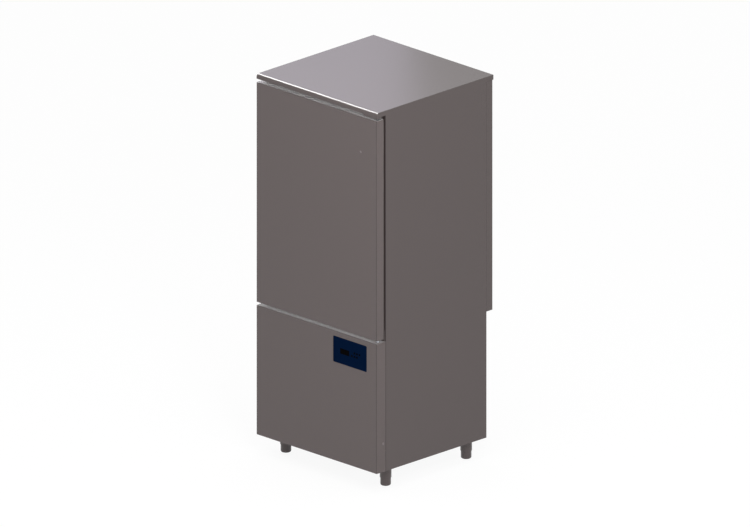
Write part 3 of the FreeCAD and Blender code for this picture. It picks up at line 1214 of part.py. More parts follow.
save("fan_baffle", fan_baffle())
save("fan_guards", *fan_guards())
save("fan_motors", *fan_motors())
save("evaporator_coil", *evaporator_coil())
save("evaporator_end_plates", *evaporator_end_plates())
save("drip_tray", drip_tray())
save("drain_pipe", drain_pipe())
save("compressor", compressor())
save("compressor_mounts", *compressor_mounts())
save("condenser_coil", *condenser_coil())
save("condenser_end_plates", *condenser_end_plates())
save("condenser_shroud", condenser_shroud())
save("condenser_fan_motor", condenser_fan_motor())
save("condenser_fan", condenser_fan())
save("liquid_receiver", liquid_receiver())
save("filter_drier", filter_drier())
save("refrigerant_pipes", *refrigerant_pipes())
save("cable_gland", cable_gland())
save("foot_sleeves", *foot_sleeves())

for number, height in enumerate(fan_heights(), 1):
    save(f"chamber_fan_{number}", chamber_fan(height))
for name, (column, height) in KEYS.items():
    save(name, key(column, height))
for name, (foot_x, foot_y) in FEET.items():
    save(name, foot(foot_x, foot_y))
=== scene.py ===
import json
import math

import bmesh
import bpy
from bmesh.types import BMFace, BMVert
from mathutils import Matrix, Vector


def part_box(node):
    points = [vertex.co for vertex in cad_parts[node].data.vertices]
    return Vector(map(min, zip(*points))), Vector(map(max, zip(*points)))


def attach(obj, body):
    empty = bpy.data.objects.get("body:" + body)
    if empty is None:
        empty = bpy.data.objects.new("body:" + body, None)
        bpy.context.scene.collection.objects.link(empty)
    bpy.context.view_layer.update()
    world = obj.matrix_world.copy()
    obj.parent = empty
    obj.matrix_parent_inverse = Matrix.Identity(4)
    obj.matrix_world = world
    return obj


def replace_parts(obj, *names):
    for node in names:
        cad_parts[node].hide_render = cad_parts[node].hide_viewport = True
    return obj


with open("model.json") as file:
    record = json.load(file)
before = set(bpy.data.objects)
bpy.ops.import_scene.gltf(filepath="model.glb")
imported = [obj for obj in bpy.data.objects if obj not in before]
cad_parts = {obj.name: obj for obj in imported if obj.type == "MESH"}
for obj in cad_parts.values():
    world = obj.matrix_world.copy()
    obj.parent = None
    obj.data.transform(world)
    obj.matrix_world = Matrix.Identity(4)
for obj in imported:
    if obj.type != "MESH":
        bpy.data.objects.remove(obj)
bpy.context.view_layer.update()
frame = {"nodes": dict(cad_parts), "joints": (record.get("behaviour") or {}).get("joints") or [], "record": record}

# Upright blast chiller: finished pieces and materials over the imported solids.
# Metres. X runs to the right, Y to the back, Z up, with the origin on the floor.

SLOT_OF = {part["node"]: part["material_slot"] for part in frame["record"]["subparts"]}
BODY_OF = {node: body for body, members in frame["record"]["behaviour"]["bodies"].items()
           for node in members}
ORIGIN = (0, 0, 0)
X_AXIS = Vector((1, 0, 0))
Y_AXIS = Vector((0, 1, 0))
Z_AXIS = Vector((0, 0, 1))
FULL_TURN = 2 * math.pi
SMOOTH_BELOW = math.radians(50)  # faces that meet at a smaller angle are shaded as one
SHARP_ABOVE = math.radians(35)  # edges at a larger angle are softened
FLAT_BELOW = math.radians(0.5)  # faces that meet at a smaller angle are merged
MERGE_WITHIN = 0.000002  # vertices of one corner
SPIN_MERGE_WITHIN = 0.000005  # vertices of one pole of a spun form
SHORTEST_RUN = 0.0001  # a pipe's bends follow each other below this
SHEET = 0.0012  # thickness of the air panel and the rear panel


# ---- Node groups that several finishes share ----

NOISE_LOW = 0.3  # most of a noise lies between these
NOISE_HIGH = 0.7
GRAIN_SHARE = 0.35  # of the grain in the shade; the clouds have the rest


def node_with(tree, kind, **values):
    """Node of a kind, with values on its own sockets."""
    node = tree.nodes.new("ShaderNode" + kind)
    for name, value in values.items():
        node.inputs[name.replace("_", " ")].default_value = value
    return node


def math_node(tree, operation, second=None):
    """Node that works on two values, the second plain where it is given."""
    node = node_with(tree, "Math")
    node.operation = operation
    if second is not None:
        node.inputs[1].default_value = second
    return node


def group_with(name, inputs, outputs):
    """Empty node group that takes a vector and named values, and its two ends."""
    group = bpy.data.node_groups.new(name, "ShaderNodeTree")
    group.interface.new_socket("Vector", in_out="INPUT", socket_type="NodeSocketVector")
    for side, sockets in (("INPUT", inputs), ("OUTPUT", outputs)):
        for socket in sockets:
            group.interface.new_socket(socket, in_out=side, socket_type="NodeSocketFloat")
    start = group.nodes.new("NodeGroupInput")
    end = group.nodes.new("NodeGroupOutput")
    return group, start, end


def grain_group():
    """Fine grain with slow clouds over it: a shade mask, a gloss mask and a height."""
    group, start, end = group_with("fine_grain", ("Grain Scale", "Cloud Scale"),
                                   ("Shade", "Gloss", "Height"))
    link = group.links.new
    grain = node_with(group, "TexNoise", Detail=3.0)
    cloud = node_with(group, "TexNoise", Detail=4.0, Roughness=0.6)
    link(start.outputs["Vector"], grain.inputs["Vector"])
    link(start.outputs["Grain Scale"], grain.inputs["Scale"])
    link(start.outputs["Vector"], cloud.inputs["Vector"])
    link(start.outputs["Cloud Scale"], cloud.inputs["Scale"])
    blend = math_node(group, "MULTIPLY_ADD", GRAIN_SHARE)
    spread = math_node(group, "MULTIPLY", 1 - GRAIN_SHARE)
    link(cloud.outputs["Fac"], spread.inputs[0])
    link(grain.outputs["Fac"], blend.inputs[0])
    link(spread.outputs["Value"], blend.inputs[2])
    link(blend.outputs["Value"], end.inputs["Shade"])
    link(cloud.outputs["Fac"], end.inputs["Gloss"])
    link(grain.outputs["Fac"], end.inputs["Height"])
    return group


def streak_group():
    """Long fine streaks of brushed or rolled metal: a shade mask and a height."""
    group, start, end = group_with("brushed_streaks", ("Density",), ("Shade", "Height"))
    link = group.links.new
    lines = node_with(group, "TexNoise", Detail=5.0, Roughness=0.7)
    link(start.outputs["Vector"], lines.inputs["Vector"])
    link(start.outputs["Density"], lines.inputs["Scale"])
    even = node_with(group, "MapRange", From_Min=NOISE_LOW, From_Max=NOISE_HIGH)
    link(lines.outputs["Fac"], even.inputs["Value"])
    link(even.outputs["Result"], end.inputs["Shade"])
    link(lines.outputs["Fac"], end.inputs["Height"])
    return group


FINE_GRAIN = grain_group()
BRUSHED_STREAKS = streak_group()


# ---- Finishes ----

METAL_GRAIN_SCALE = 240.0  # clouds in the gloss of bare metal
METAL_CLOUD_SCALE = 7.0
CRYSTAL_SCALE = 120.0  # patches of galvanised sheet
CRYSTAL_BUMP = 0.00002


def linear(colour):
    """Colour written as 0 to 255, as light."""
    light = []
    for part in colour:
        level = part / 255
        light.append(level / 12.92 if level <= 0.04045 else ((level + 0.055) / 1.055) ** 2.4)
    return (*light, 1.0)


def shaded(tone, factor):
    """Tone made darker or lighter by a factor."""
    return tuple(max(0.0, min(1.0, part * factor)) for part in tone[:3]) + (1.0,)


class Finish:
    """One material: its surface shader, and the Object coordinates that its patterns read."""

    def __init__(self, name, metallic=0.0):
        self.material = bpy.data.materials.new(name)
        self.material.use_nodes = True
        self.tree = self.material.node_tree
        self.shader = self.tree.nodes["Principled BSDF"]
        self.shader.inputs["Metallic"].default_value = metallic
        self.place = node_with(self.tree, "TexCoord")

    def link(self, start, end):
        """Wire from one node's output to another's input."""
        self.tree.links.new(start, end)

    def mapped(self, stretch):
        """Object coordinates, stretched for a pattern with a direction."""
        mapping = node_with(self.tree, "Mapping", Scale=stretch)
        self.link(self.place.outputs["Object"], mapping.inputs["Vector"])
        return mapping.outputs["Vector"]

    def placed_group(self, group, vector, **values):
        """Shared node group with this material's own values."""
        node = node_with(self.tree, "Group")
        node.node_tree = group
        self.link(vector, node.inputs["Vector"])
        for name, value in values.items():
            node.inputs[name.replace("_", " ")].default_value = value
        return node

    def coloured(self, mask, colour, spread, low=NOISE_LOW, high=NOISE_HIGH):
        """Base colour that lies about one tone, darker and lighter by a spread, by a mask."""
        tone = linear(colour)
        ramp = node_with(self.tree, "ValToRGB")
        ends = ((low, 1 - spread), (high, 1 + spread))
        for element, (position, factor) in zip(ramp.color_ramp.elements, ends):
            element.position = position
            element.color = shaded(tone, factor)
        self.link(mask, ramp.inputs["Fac"])
        self.link(ramp.outputs["Color"], self.shader.inputs["Base Color"])
        return ramp

    def rough(self, mask, low, high):
        """Roughness between two values, by a mask."""
        even = node_with(self.tree, "MapRange", From_Min=NOISE_LOW, From_Max=NOISE_HIGH,
                         To_Min=low, To_Max=high)
        self.link(mask, even.inputs["Value"])
        self.link(even.outputs["Result"], self.shader.inputs["Roughness"])

    def paint_fold_shade(self, ramp, shade):
        """Painted shade: a darker tone along the narrow bends, where the piece's own fold mask is set."""
        mask = node_with(self.tree, "Attribute")
        mask.attribute_name = "fold"
        tone = node_with(self.tree, "Mix")
        tone.data_type = "RGBA"
        tone.blend_type = "MULTIPLY"
        tone.inputs["B"].default_value = (shade, shade, shade, 1)
        self.link(mask.outputs["Fac"], tone.inputs["Factor"])
        self.link(ramp.outputs["Color"], tone.inputs["A"])
        self.link(tone.outputs["Result"], self.shader.inputs["Base Color"])

    def bumped(self, height, distance):
        """Surface raised by a height, up to a distance."""
        bump = node_with(self.tree, "Bump", Strength=1.0, Distance=distance)
        self.link(height, bump.inputs["Height"])
        self.link(bump.outputs["Normal"], self.shader.inputs["Normal"])


def grained(name, colour, spread, roughness, grain_scale, cloud_scale, bump,
            metallic=0.0, specular=0.5, fold_shade=None):
    """Paint, plastic, rubber or foam: fine grain, slow clouds and a slight bump, with painted shade along the
    sheet's bends where it is given.
    """
    finish = Finish(name, metallic)
    finish.shader.inputs["Specular IOR Level"].default_value = specular
    grain = finish.placed_group(FINE_GRAIN, finish.place.outputs["Object"],
                                Grain_Scale=grain_scale, Cloud_Scale=cloud_scale)
    ramp = finish.coloured(grain.outputs["Shade"], colour, spread)
    # painted shade along the sheet's bends, where a fold shade is given
    if fold_shade is not None:
        finish.paint_fold_shade(ramp, fold_shade)
    finish.rough(grain.outputs["Gloss"], *roughness)
    finish.bumped(grain.outputs["Height"], bump)
    return finish.material


def brushed(name, colour, spread, roughness, stretch, density, bump):
    """Bare metal with streaks along one direction, and slow clouds in its gloss."""
    finish = Finish(name, metallic=1.0)
    streaks = finish.placed_group(BRUSHED_STREAKS, finish.mapped(stretch), Density=density)
    clouds = finish.placed_group(FINE_GRAIN, finish.place.outputs["Object"],
                                 Grain_Scale=METAL_GRAIN_SCALE, Cloud_Scale=METAL_CLOUD_SCALE)
    finish.coloured(streaks.outputs["Shade"], colour, spread, 0.0, 1.0)
    finish.rough(clouds.outputs["Gloss"], *roughness)
    finish.bumped(streaks.outputs["Height"], bump)
    return finish.material


def spangled(name, colour, spread, roughness):
    """Galvanised sheet with its patches of crystals."""
    finish = Finish(name, metallic=1.0)
    patches = node_with(finish.tree, "TexVoronoi", Scale=CRYSTAL_SCALE)
    finish.link(finish.place.outputs["Object"], patches.inputs["Vector"])
    split = node_with(finish.tree, "SeparateColor")
    finish.link(patches.outputs["Color"], split.inputs["Color"])
    finish.coloured(split.outputs["Red"], colour, spread, 0.0, 1.0)
    finish.rough(split.outputs["Green"], *roughness)
    finish.bumped(split.outputs["Blue"], CRYSTAL_BUMP)
    return finish.material


# Each has its name, colour, spread of tone and range of roughness. Then a grained one has the
# scales of its grain and clouds, a brushed one its stretch and density, and both their bump.
FINISHES = {
    # the grey coat gets painted shade along its bends, at 0.45 of its tone
    "grey_coat": grained(
        "grey_satin_coat", (90, 80, 79), 0.008, (0.265, 0.275), 90.0, 2.0, 0.0000015, fold_shade=0.45),
    "stainless": brushed(
        "brushed_stainless", (176, 175, 177), 0.05, (0.30, 0.34), (1, 1, 0.04), 500.0, 0.00001),
    "steel_wire": brushed(
        "drawn_steel", (182, 182, 185), 0.06, (0.18, 0.30), (1, 1, 1), 320.0, 0.00001),
    "galvanised": spangled("galvanised_sheet", (165, 168, 171), 0.09, (0.34, 0.52)),
    "foam": grained("insulating_foam", (222, 205, 158), 0.07, (0.75, 0.92), 420.0, 9.0, 0.0004),
    "dark_plastic": grained("dark_moulding", (38, 38, 40), 0.08, (0.42, 0.56), 700.0, 6.0, 0.00006),
    "light_plastic": grained(
        "pale_moulding", (196, 196, 193), 0.03, (0.35, 0.48), 700.0, 6.0, 0.00004),
    "board": grained("circuit_board", (22, 74, 38), 0.10, (0.30, 0.45), 500.0, 20.0, 0.00003),
    "navy_panel": grained(
        "navy_panel_film", (0, 21, 51), 0.05, (0.40, 0.48), 900.0, 12.0, 0.00001, specular=0.01),
    "display_glass": grained(
        "display_window", (5, 4, 4), 0.12, (0.08, 0.14), 400.0, 10.0, 0.000002, specular=0.01),
    "key_plastic": grained(
        "key_cap", (4, 4, 4), 0.15, (0.40, 0.52), 900.0, 30.0, 0.00002, specular=0.01),
    "seal_rubber": grained(
        "gasket_rubber", (124, 118, 117), 0.05, (0.55, 0.70), 600.0, 8.0, 0.00008),
    "black_paint": grained("black_enamel", (18, 18, 19), 0.10, (0.22, 0.34), 350.0, 6.0, 0.00008),
    "motor_case": grained(
        "cast_motor_case", (84, 85, 88), 0.08, (0.45, 0.60), 380.0, 12.0, 0.00015, metallic=0.6),
    "aluminium_fins": brushed(
        "aluminium_fins", (200, 202, 206), 0.05, (0.30, 0.42), (1, 1, 0.1), 260.0, 0.00001),
    "copper": grained(
        "drawn_copper", (196, 118, 82), 0.10, (0.26, 0.44), 200.0, 14.0, 0.00002, metallic=1.0),
    "fan_plastic": grained("fan_moulding", (30, 30, 32), 0.08, (0.36, 0.48), 600.0, 10.0, 0.00004),
}


# ---- Making and placing pieces ----

def put_in_scene(name, data):
    """Object with some data, in the scene."""
    thing = bpy.data.objects.new(name, data)
    bpy.context.scene.collection.objects.link(thing)
    return thing


def meshed(name, bm):
    """Mesh from a bmesh, which is used up."""
    mesh = bpy.data.meshes.new(name)
    bm.to_mesh(mesh)
    bm.free()
    return mesh


def only(geom, kind):
    """Elements of one kind among some geometry."""
    return [element for element in geom if isinstance(element, kind)]


def edges_at(verts):
    """Every edge that some vertices touch."""
    return list({edge for vert in verts for edge in vert.link_edges})


def faces_at(verts):
    """Every face that some vertices touch."""
    return list({face for vert in verts for face in vert.link_faces})


def move(bm, verts, way):
    """Shift some vertices."""
    bmesh.ops.translate(bm, verts=verts, vec=way)


def turn_about(bm, verts, turn):
    """Turn some vertices about the origin."""
    bmesh.ops.rotate(bm, verts=verts, cent=ORIGIN, matrix=turn)


def scaled(outline, radius, tall):
    """Outline in metres, from shares of a radius and of a height."""
    return [(radius * out, tall * up) for out, up in outline]


def standing(low, high):
    """Middle of a box's foot, its radius and its height."""
    return ((low.x + high.x) / 2, (low.y + high.y) / 2, low.z), (high.x - low.x) / 2, high.z - low.z


def merged_node(node):
    """Merged copy of a CAD node's mesh, its flat faces joined up."""
    bm = bmesh.new()
    bm.from_mesh(frame["nodes"][node].data)
    bmesh.ops.remove_doubles(bm, verts=bm.verts, dist=MERGE_WITHIN)
    bmesh.ops.dissolve_limit(bm, angle_limit=FLAT_BELOW, verts=bm.verts, edges=bm.edges)
    return bm


def solids_of(node):
    """Lowest and highest corner of each separate solid in a node, from the floor up."""
    bm = merged_node(node)
    waiting = set(bm.verts)
    boxes = []
    while waiting:
        reached = [waiting.pop()]
        corners = []
        while reached:
            vert = reached.pop()
            corners.append(vert.co.copy())
            for edge in vert.link_edges:
                other = edge.other_vert(vert)
                if other in waiting:
                    waiting.remove(other)
                    reached.append(other)
        low = Vector([min(p[i] for p in corners) for i in range(3)])
        high = Vector([max(p[i] for p in corners) for i in range(3)])
        boxes.append((low, high))
    bm.free()
    return sorted(boxes, key=lambda box: tuple(round(box[0][i], 4) for i in (2, 1, 0)))


def soften(bm, width, segments, edges=None):
    """Round the given edges, or every sharp one."""
    if edges is None:
        edges = [e for e in bm.edges if e.is_manifold and e.calc_face_angle(0) > SHARP_ABOVE]
    if edges and width > 0:
        bmesh.ops.bevel(bm, geom=edges, offset=width, offset_type="OFFSET", segments=segments,
                        profile=0.5, affect="EDGES", clamp_overlap=True, material=-1)


def add_block(bm, low, high, width=0.0, segments=2):
    """Box between two corners, with rounded edges where a width is given."""
    low, high = Vector(low), Vector(high)
    made = bmesh.ops.create_cube(bm, size=1)["verts"]
    bmesh.ops.scale(bm, vec=high - low, verts=made)
    move(bm, made, (high + low) / 2)
    if width > 0:
        soften(bm, width, segments, edges_at(made))


def add_turned(bm, outline, centre, axis=Z_AXIS, steps=40, closed=False):
    """Form spun from an outline of radii and heights, along an axis from its centre."""
    before = set(bm.verts)
    verts = [bm.verts.new((radius, 0, height)) for radius, height in outline]
    pairs = list(zip(verts, verts[1:]))
    if closed:
        pairs.append((verts[-1], verts[0]))
    edges = [bm.edges.new(pair) for pair in pairs]
    bmesh.ops.spin(bm, geom=verts + edges, cent=ORIGIN, axis=Z_AXIS, angle=FULL_TURN,
                   steps=steps, use_merge=True)
    made = [v for v in bm.verts if v not in before]
    bmesh.ops.remove_doubles(bm, verts=made, dist=SPIN_MERGE_WITHIN)
    made = [v for v in bm.verts if v not in before]
    turn_about(bm, made, Z_AXIS.rotation_difference(axis).to_matrix())
    move(bm, made, Vector(centre))


def add_pipe(bm, route, bend, radius, sides=14, arc_steps=6):
    """Round tube along straight runs that turn at right angles."""
    route = [Vector(point) for point in route]
    ahead = (route[1] - route[0]).normalized()
    ring = bmesh.ops.create_circle(bm, cap_ends=True, radius=radius, segments=sides)["verts"]
    turn_about(bm, ring, Z_AXIS.rotation_difference(ahead).to_matrix())
    move(bm, ring, route[0])
    face = ring[0].link_faces[0]
    at = route[0]
    for index in range(1, len(route)):
        ahead = (route[index] - route[index - 1]).normalized()
        last = index == len(route) - 1
        stop = route[index] if last else route[index] - ahead * bend
        if (stop - at).length > SHORTEST_RUN:
            made = bmesh.ops.extrude_face_region(bm, geom=[face])["geom"]
            move(bm, only(made, BMVert), stop - at)
            face = only(made, BMFace)[0]
        if last:
            return
        after = (route[index + 1] - route[index]).normalized()
        made = bmesh.ops.spin(bm, geom=[face], cent=stop + after * bend, axis=ahead.cross(after),
                              angle=FULL_TURN / 4, steps=arc_steps)["geom_last"]
        face = only(made, BMFace)[0]
        at = route[index] + after * bend


def repeated(bm, geom, step, count):
    """Copies of some geometry at even steps along a line."""
    for number in range(1, count):
        copy = bmesh.ops.duplicate(bm, geom=geom)["geom"]
        move(bm, only(copy, BMVert), step * number)


def finish_piece(name, bm, node, finish=None):
    """Object from a bmesh, smooth where it curves, on its node's body and in its finish."""
    bmesh.ops.remove_doubles(bm, verts=bm.verts, dist=MERGE_WITHIN)
    bmesh.ops.recalc_face_normals(bm, faces=bm.faces)
    for face in bm.faces:
        face.smooth = True
    mesh = meshed(name, bm)
    mesh.set_sharp_from_angle(angle=SMOOTH_BELOW)
    piece = put_in_scene(name, mesh)
    piece.modifiers.new("even_normals", "WEIGHTED_NORMAL").keep_sharp = True
    finish = finish or SLOT_OF[node]
    mesh.materials.append(FINISHES[finish])
    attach(piece, BODY_OF[node])
    return piece


def stand_in(name, bm, node):
    """Finished piece that is shown in place of a CAD node."""
    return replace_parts(finish_piece(name, bm, node), node)


# ---- Sheet metal, foam and mouldings that keep the CAD form ----

EDGE_SOFTNESS = {
    "outer_wrap": 0.0005, "front_frame": 0.0003, "breaker_strip": 0.0006, "chamber_liner": 0.0003,
    "rear_upper_cover": 0.0004, "rear_lower_panel": 0.0003, "body_underside": 0.0003,
    "base_chassis": 0.0005, "lower_front_panel": 0.0004, "control_carrier": 0.0005,
    "control_fascia": 0.0004, "display_window": 0.0005, "top_hinge_plate": 0.0010,
    "lower_hinge_bracket": 0.0010, "hinge_pins": 0.0005, "hinge_bushes": 0.0008,
    "door_outer_skin": 0.0004, "door_inner_skin": 0.0004, "door_grip": 0.0005,
    "door_gasket": 0.0010, "fan_baffle": 0.0004, "drip_tray": 0.0003,
    "evaporator_end_plates": 0.0005, "condenser_end_plates": 0.0005, "condenser_shroud": 0.0004,
    "tray_runners": 0.0005, "control_box": 0.0015,
}
FLAT_NORMAL = 0.99  # a face whose normal lies this near an axis isn't a fold
FOLD_WIDTH = 0.002
FOLD_RADIUS = 0.0025
BODY_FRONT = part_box("front_frame")[0].y
BODY_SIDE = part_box("outer_wrap")[1].x
ROUNDER_CORNERS = {"outer_wrap": [(BODY_SIDE, BODY_FRONT)]}
STRAIGHT_WITHIN = 0.00001  # an edge along an axis
PLACED_WITHIN = 0.0002  # an edge at a given place


def corner_edges(bm, axis, places):
    """Edges along one axis at given places on the other two, on either side of the middle."""
    first, second = [i for i in range(3) if i != axis]
    found = []
    for edge in bm.edges:
        start, end = (v.co for v in edge.verts)
        straight = all(abs(start[i] - end[i]) < STRAIGHT_WITHIN for i in (first, second))
        if straight and any(abs(abs(start[first]) - abs(a)) < PLACED_WITHIN
                            and abs(start[second] - b) < PLACED_WITHIN for a, b in places):
            found.append(edge)
    return found


def mark_folds(bm):
    """Mask of the narrow slanting faces, which are the bends of the sheet, where the coat's painted shade goes."""
    mask = bm.faces.layers.float.new("fold")
    for face in bm.faces:
        slanting = max(abs(part) for part in face.normal) < FLAT_NORMAL
        narrow = min(edge.calc_length() for edge in face.edges) < FOLD_WIDTH
        face[mask] = 1.0 if slanting and narrow else 0.0


def softened_node(node, width, corners=()):
    """A CAD node's own form with merged faces, rounder corners and softened edges."""
    bm = merged_node(node)
    soften(bm, FOLD_RADIUS, 4, corner_edges(bm, 2, corners))
    soften(bm, width, 2)
    # marks the bends that get painted shade
    mark_folds(bm)
    stand_in(node + "_finished", bm, node)


def recoated_node(node):
    """A CAD node that keeps its own mesh and gets its finish."""
    mesh = frame["nodes"][node].data
    mesh.materials.clear()
    mesh.materials.append(FINISHES[SLOT_OF[node]])


for name, width in EDGE_SOFTNESS.items():
    softened_node(name, width, ROUNDER_CORNERS.get(name, ()))
for name in ("insulation", "door_insulation", "control_board"):
    recoated_node(name)


# ---- Feet ----

FOOT_ROUNDING = 0.008
FOOT_FACE = 0.001  # edges this near the floor belong to the foot's face
FOOT_FIT = 0.0001  # foot to sleeve
SLEEVE_WEB = 0.014
SLEEVE_CHAMFER = 0.0015


def make_foot(node):
    """Round foot with its lower edge rounded over."""
    low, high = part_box(node)
    centre, radius, tall = standing(low, high)
    bm = bmesh.new()
    add_turned(bm, [(0, 0), (radius, 0), (radius, tall), (0, tall)], centre, steps=48)
    face_z = low.z + FOOT_FACE
    rim = [e for e in bm.edges
           if e.calc_length() < radius / 5 and max(v.co.z for v in e.verts) < face_z]
    soften(bm, FOOT_ROUNDING, 6, rim)
    stand_in(node + "_turned", bm, node)


def make_sleeves():
    """Fixed tubes round the feet, chamfered at their lower ends."""
    foot_low, foot_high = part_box("foot_front_left")
    bore = (foot_high.x - foot_low.x) / 2 + FOOT_FIT
    bm = bmesh.new()
    for low, high in solids_of("foot_sleeves"):
        centre, radius, tall = standing(low, high)
        add_turned(bm, [(0, tall - SLEEVE_WEB), (bore, tall - SLEEVE_WEB), (bore, 0),
                        (radius - SLEEVE_CHAMFER, 0), (radius, SLEEVE_CHAMFER),
                        (radius, tall), (0, tall)], centre, steps=48)
    stand_in("foot_sleeves_turned", bm, "foot_sleeves")


for name in ("foot_front_left", "foot_front_right", "foot_rear_left", "foot_rear_right"):
    make_foot(name)
make_sleeves()


# ---- Controls ----

KEY_CAP_RADIUS = 0.0055
KEY_CAP_DEPTH = 0.0041
KEY_DOME = [(0, 0), (0.55, 0.00006), (0.80, 0.00028), (0.94, 0.0008), (1, 0.0016)]
KEY_FLANGE_DEPTH = 0.0012
KEY_STEM_HALF = 0.002
KEY_EDGE = 0.0002


def make_key(node):
    """Round cap with a domed face, its flange and its stem."""
    low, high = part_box(node)
    centre = (low + high) / 2
    centre.y = low.y
    bm = bmesh.new()
    dome = [(KEY_CAP_RADIUS * out, depth) for out, depth in KEY_DOME]
    add_turned(bm, [*dome, (KEY_CAP_RADIUS, KEY_CAP_DEPTH), (0, KEY_CAP_DEPTH)],
               centre, Y_AXIS, steps=40)
    wide = (high.x - low.x) / 2
    back = low.y + KEY_CAP_DEPTH
    add_block(bm, (centre.x - wide, back, centre.z - wide),
              (centre.x + wide, back + KEY_FLANGE_DEPTH, centre.z + wide), KEY_EDGE)
    add_block(bm, (centre.x - KEY_STEM_HALF, back + KEY_FLANGE_DEPTH, centre.z - KEY_STEM_HALF),
              (centre.x + KEY_STEM_HALF, high.y, centre.z + KEY_STEM_HALF), KEY_EDGE)
    stand_in(node + "_cap", bm, node)


for name in ("key_lower_left", "key_lower_middle", "key_lower_right",
             "key_upper_left", "key_upper_middle", "key_upper_right"):
    make_key(name)


# ---- Screws ----

SCREW_FLANGE = [(0, 0), (1, 0), (1, 0.2), (0.85, 0.35), (0, 0.35)]
SCREW_HEAD = [(0, 0.3), (1, 0.3), (1, 0.88), (0.84, 1), (0, 1)]
SCREW_FLANGE_RADIUS = 0.0049
SCREW_HEAD_RADIUS = 0.0037
BUTTON_HEAD = [(0, 0.0009), (0.0014, 0.0009), (0.0016, 0.0021), (0.0026, 0.0019),
               (0.0036, 0.0012), (0.0040, 0.0), (0, 0.0)]
HINGE_LEG = 0.005  # thickness of the legs that the screws go through
TOP_SCREWS = (0.012, 0.035, 0.058)  # from the top leg's left edge
TOP_SCREW_RISE = 0.010
LOWER_SCREWS = (0.010, 0.028)  # below the lower leg's upper edge
LOWER_SCREW_INSET = 0.0135


def make_panel_screws():
    """Hexagonal heads on round flanges, in the rear panels."""
    bm = bmesh.new()
    for low, high in solids_of("panel_screws"):
        middle = (low + high) / 2
        centre = (middle.x, low.y, middle.z)
        tall = high.y - low.y
        add_turned(bm, scaled(SCREW_FLANGE, SCREW_FLANGE_RADIUS, tall), centre, Y_AXIS, steps=24)
        add_turned(bm, scaled(SCREW_HEAD, SCREW_HEAD_RADIUS, tall), centre, Y_AXIS, steps=6)
    stand_in("panel_screws_flanged", bm, "panel_screws")


def make_hinge_screws(name, node, places):
    """Button-headed screws with a socket, through a hinge's leg."""
    leg_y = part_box("front_frame")[0].y - HINGE_LEG
    bm = bmesh.new()
    for x, z in places:
        add_turned(bm, BUTTON_HEAD, (x, leg_y, z), -Y_AXIS, steps=24)
    finish_piece(name, bm, node, "steel_wire")


top_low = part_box("top_hinge_plate")[0]
make_hinge_screws("top_hinge_screws", "top_hinge_plate",
                  [(top_low.x + reach, top_low.z + TOP_SCREW_RISE) for reach in TOP_SCREWS])
lower_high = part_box("lower_hinge_bracket")[1]
make_hinge_screws("lower_hinge_screws", "lower_hinge_bracket",
                  [(lower_high.x - LOWER_SCREW_INSET, lower_high.z - drop)
                   for drop in LOWER_SCREWS])
make_panel_screws()


# ---- Rack ----

UPRIGHT_SLOT_PITCH = 0.0325
UPRIGHT_SLOT_EDGE = 0.0075
UPRIGHT_SHEET = 0.0015
UPRIGHT_TURN = Matrix(((0, 0, 1), (1, 0, 0), (0, 1, 0)))  # grid's X, Y, Z become Y, Z, X
UPRIGHT_MERGE_WITHIN = 0.00001
ON_SIDE_WITHIN = 0.0001
LEVEL_WITHIN = 0.001
PROBE_PLATE = 0.004
PROBE_PLATE_EDGE = 0.0012
PROBE_BODY_HALF = 0.009
PROBE_BODY_EDGE = 0.0008
PROBE_JACK = [(0, 0.0), (0.0034, 0.0), (0.0034, 0.0046), (0.0062, 0.0046),
              (0.0072, 0.0036), (0.0072, 0.0)]


def upright_side(edge, low, high):
    """Whether an edge runs up along the front or the back side of an upright."""
    start, end = (v.co for v in edge.verts)
    on_side = all(min(abs(p.y - low.y), abs(p.y - high.y)) < ON_SIDE_WITHIN for p in (start, end))
    return on_side and abs(start.z - end.z) > LEVEL_WITHIN


def make_uprights():
    """Channels with a row of punched slots in the face towards the chamber."""
    bm = bmesh.new()
    for low, high in solids_of("rack_uprights"):
        left = low.x < 0
        face_x, wall_x = (high.x, low.x) if left else (low.x, high.x)
        tall = high.z - low.z
        count = int(tall / UPRIGHT_SLOT_PITCH)
        before = set(bm.verts)
        grid = bmesh.ops.create_grid(bm, x_segments=1, y_segments=count, size=0.5)["verts"]
        cells = faces_at(grid)
        bmesh.ops.scale(bm, vec=(high.y - low.y, tall, 1), verts=grid)
        turn_about(bm, grid, UPRIGHT_TURN)
        middle = (low + high) / 2
        move(bm, grid, (face_x, middle.y, middle.z))
        bmesh.ops.inset_individual(bm, faces=cells, thickness=UPRIGHT_SLOT_EDGE,
                                   use_even_offset=True)
        bmesh.ops.delete(bm, geom=cells, context="FACES_ONLY")
        made = [v for v in bm.verts if v not in before]
        sides = [e for e in edges_at(made) if upright_side(e, low, high)]
        walls = bmesh.ops.extrude_edge_only(bm, edges=sides)["geom"]
        move(bm, only(walls, BMVert), (wall_x - face_x, 0, 0))
    bmesh.ops.remove_doubles(bm, verts=bm.verts, dist=UPRIGHT_MERGE_WITHIN)
    piece = stand_in("rack_uprights_punched", bm, "rack_uprights")
    sheet = piece.modifiers.new("sheet", "SOLIDIFY")
    sheet.thickness = UPRIGHT_SHEET
    sheet.offset = -1.0
    sheet.use_even_offset = True


def make_probe_socket():
    """Flanged jack in the chamber's right wall."""
    low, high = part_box("probe_socket")
    middle = (low + high) / 2
    half = PROBE_BODY_HALF
    plate = low.x + PROBE_PLATE
    bm = bmesh.new()
    add_block(bm, low, (plate, high.y, high.z), PROBE_PLATE_EDGE, 3)
    add_block(bm, (plate, middle.y - half, middle.z - half),
              (high.x, middle.y + half, middle.z + half), PROBE_BODY_EDGE)
    add_turned(bm, PROBE_JACK, (plate, middle.y, middle.z), -X_AXIS, steps=28)
    stand_in("probe_socket_jack", bm, "probe_socket")


make_uprights()
make_probe_socket()


# ---- Fans, motors and guards ----

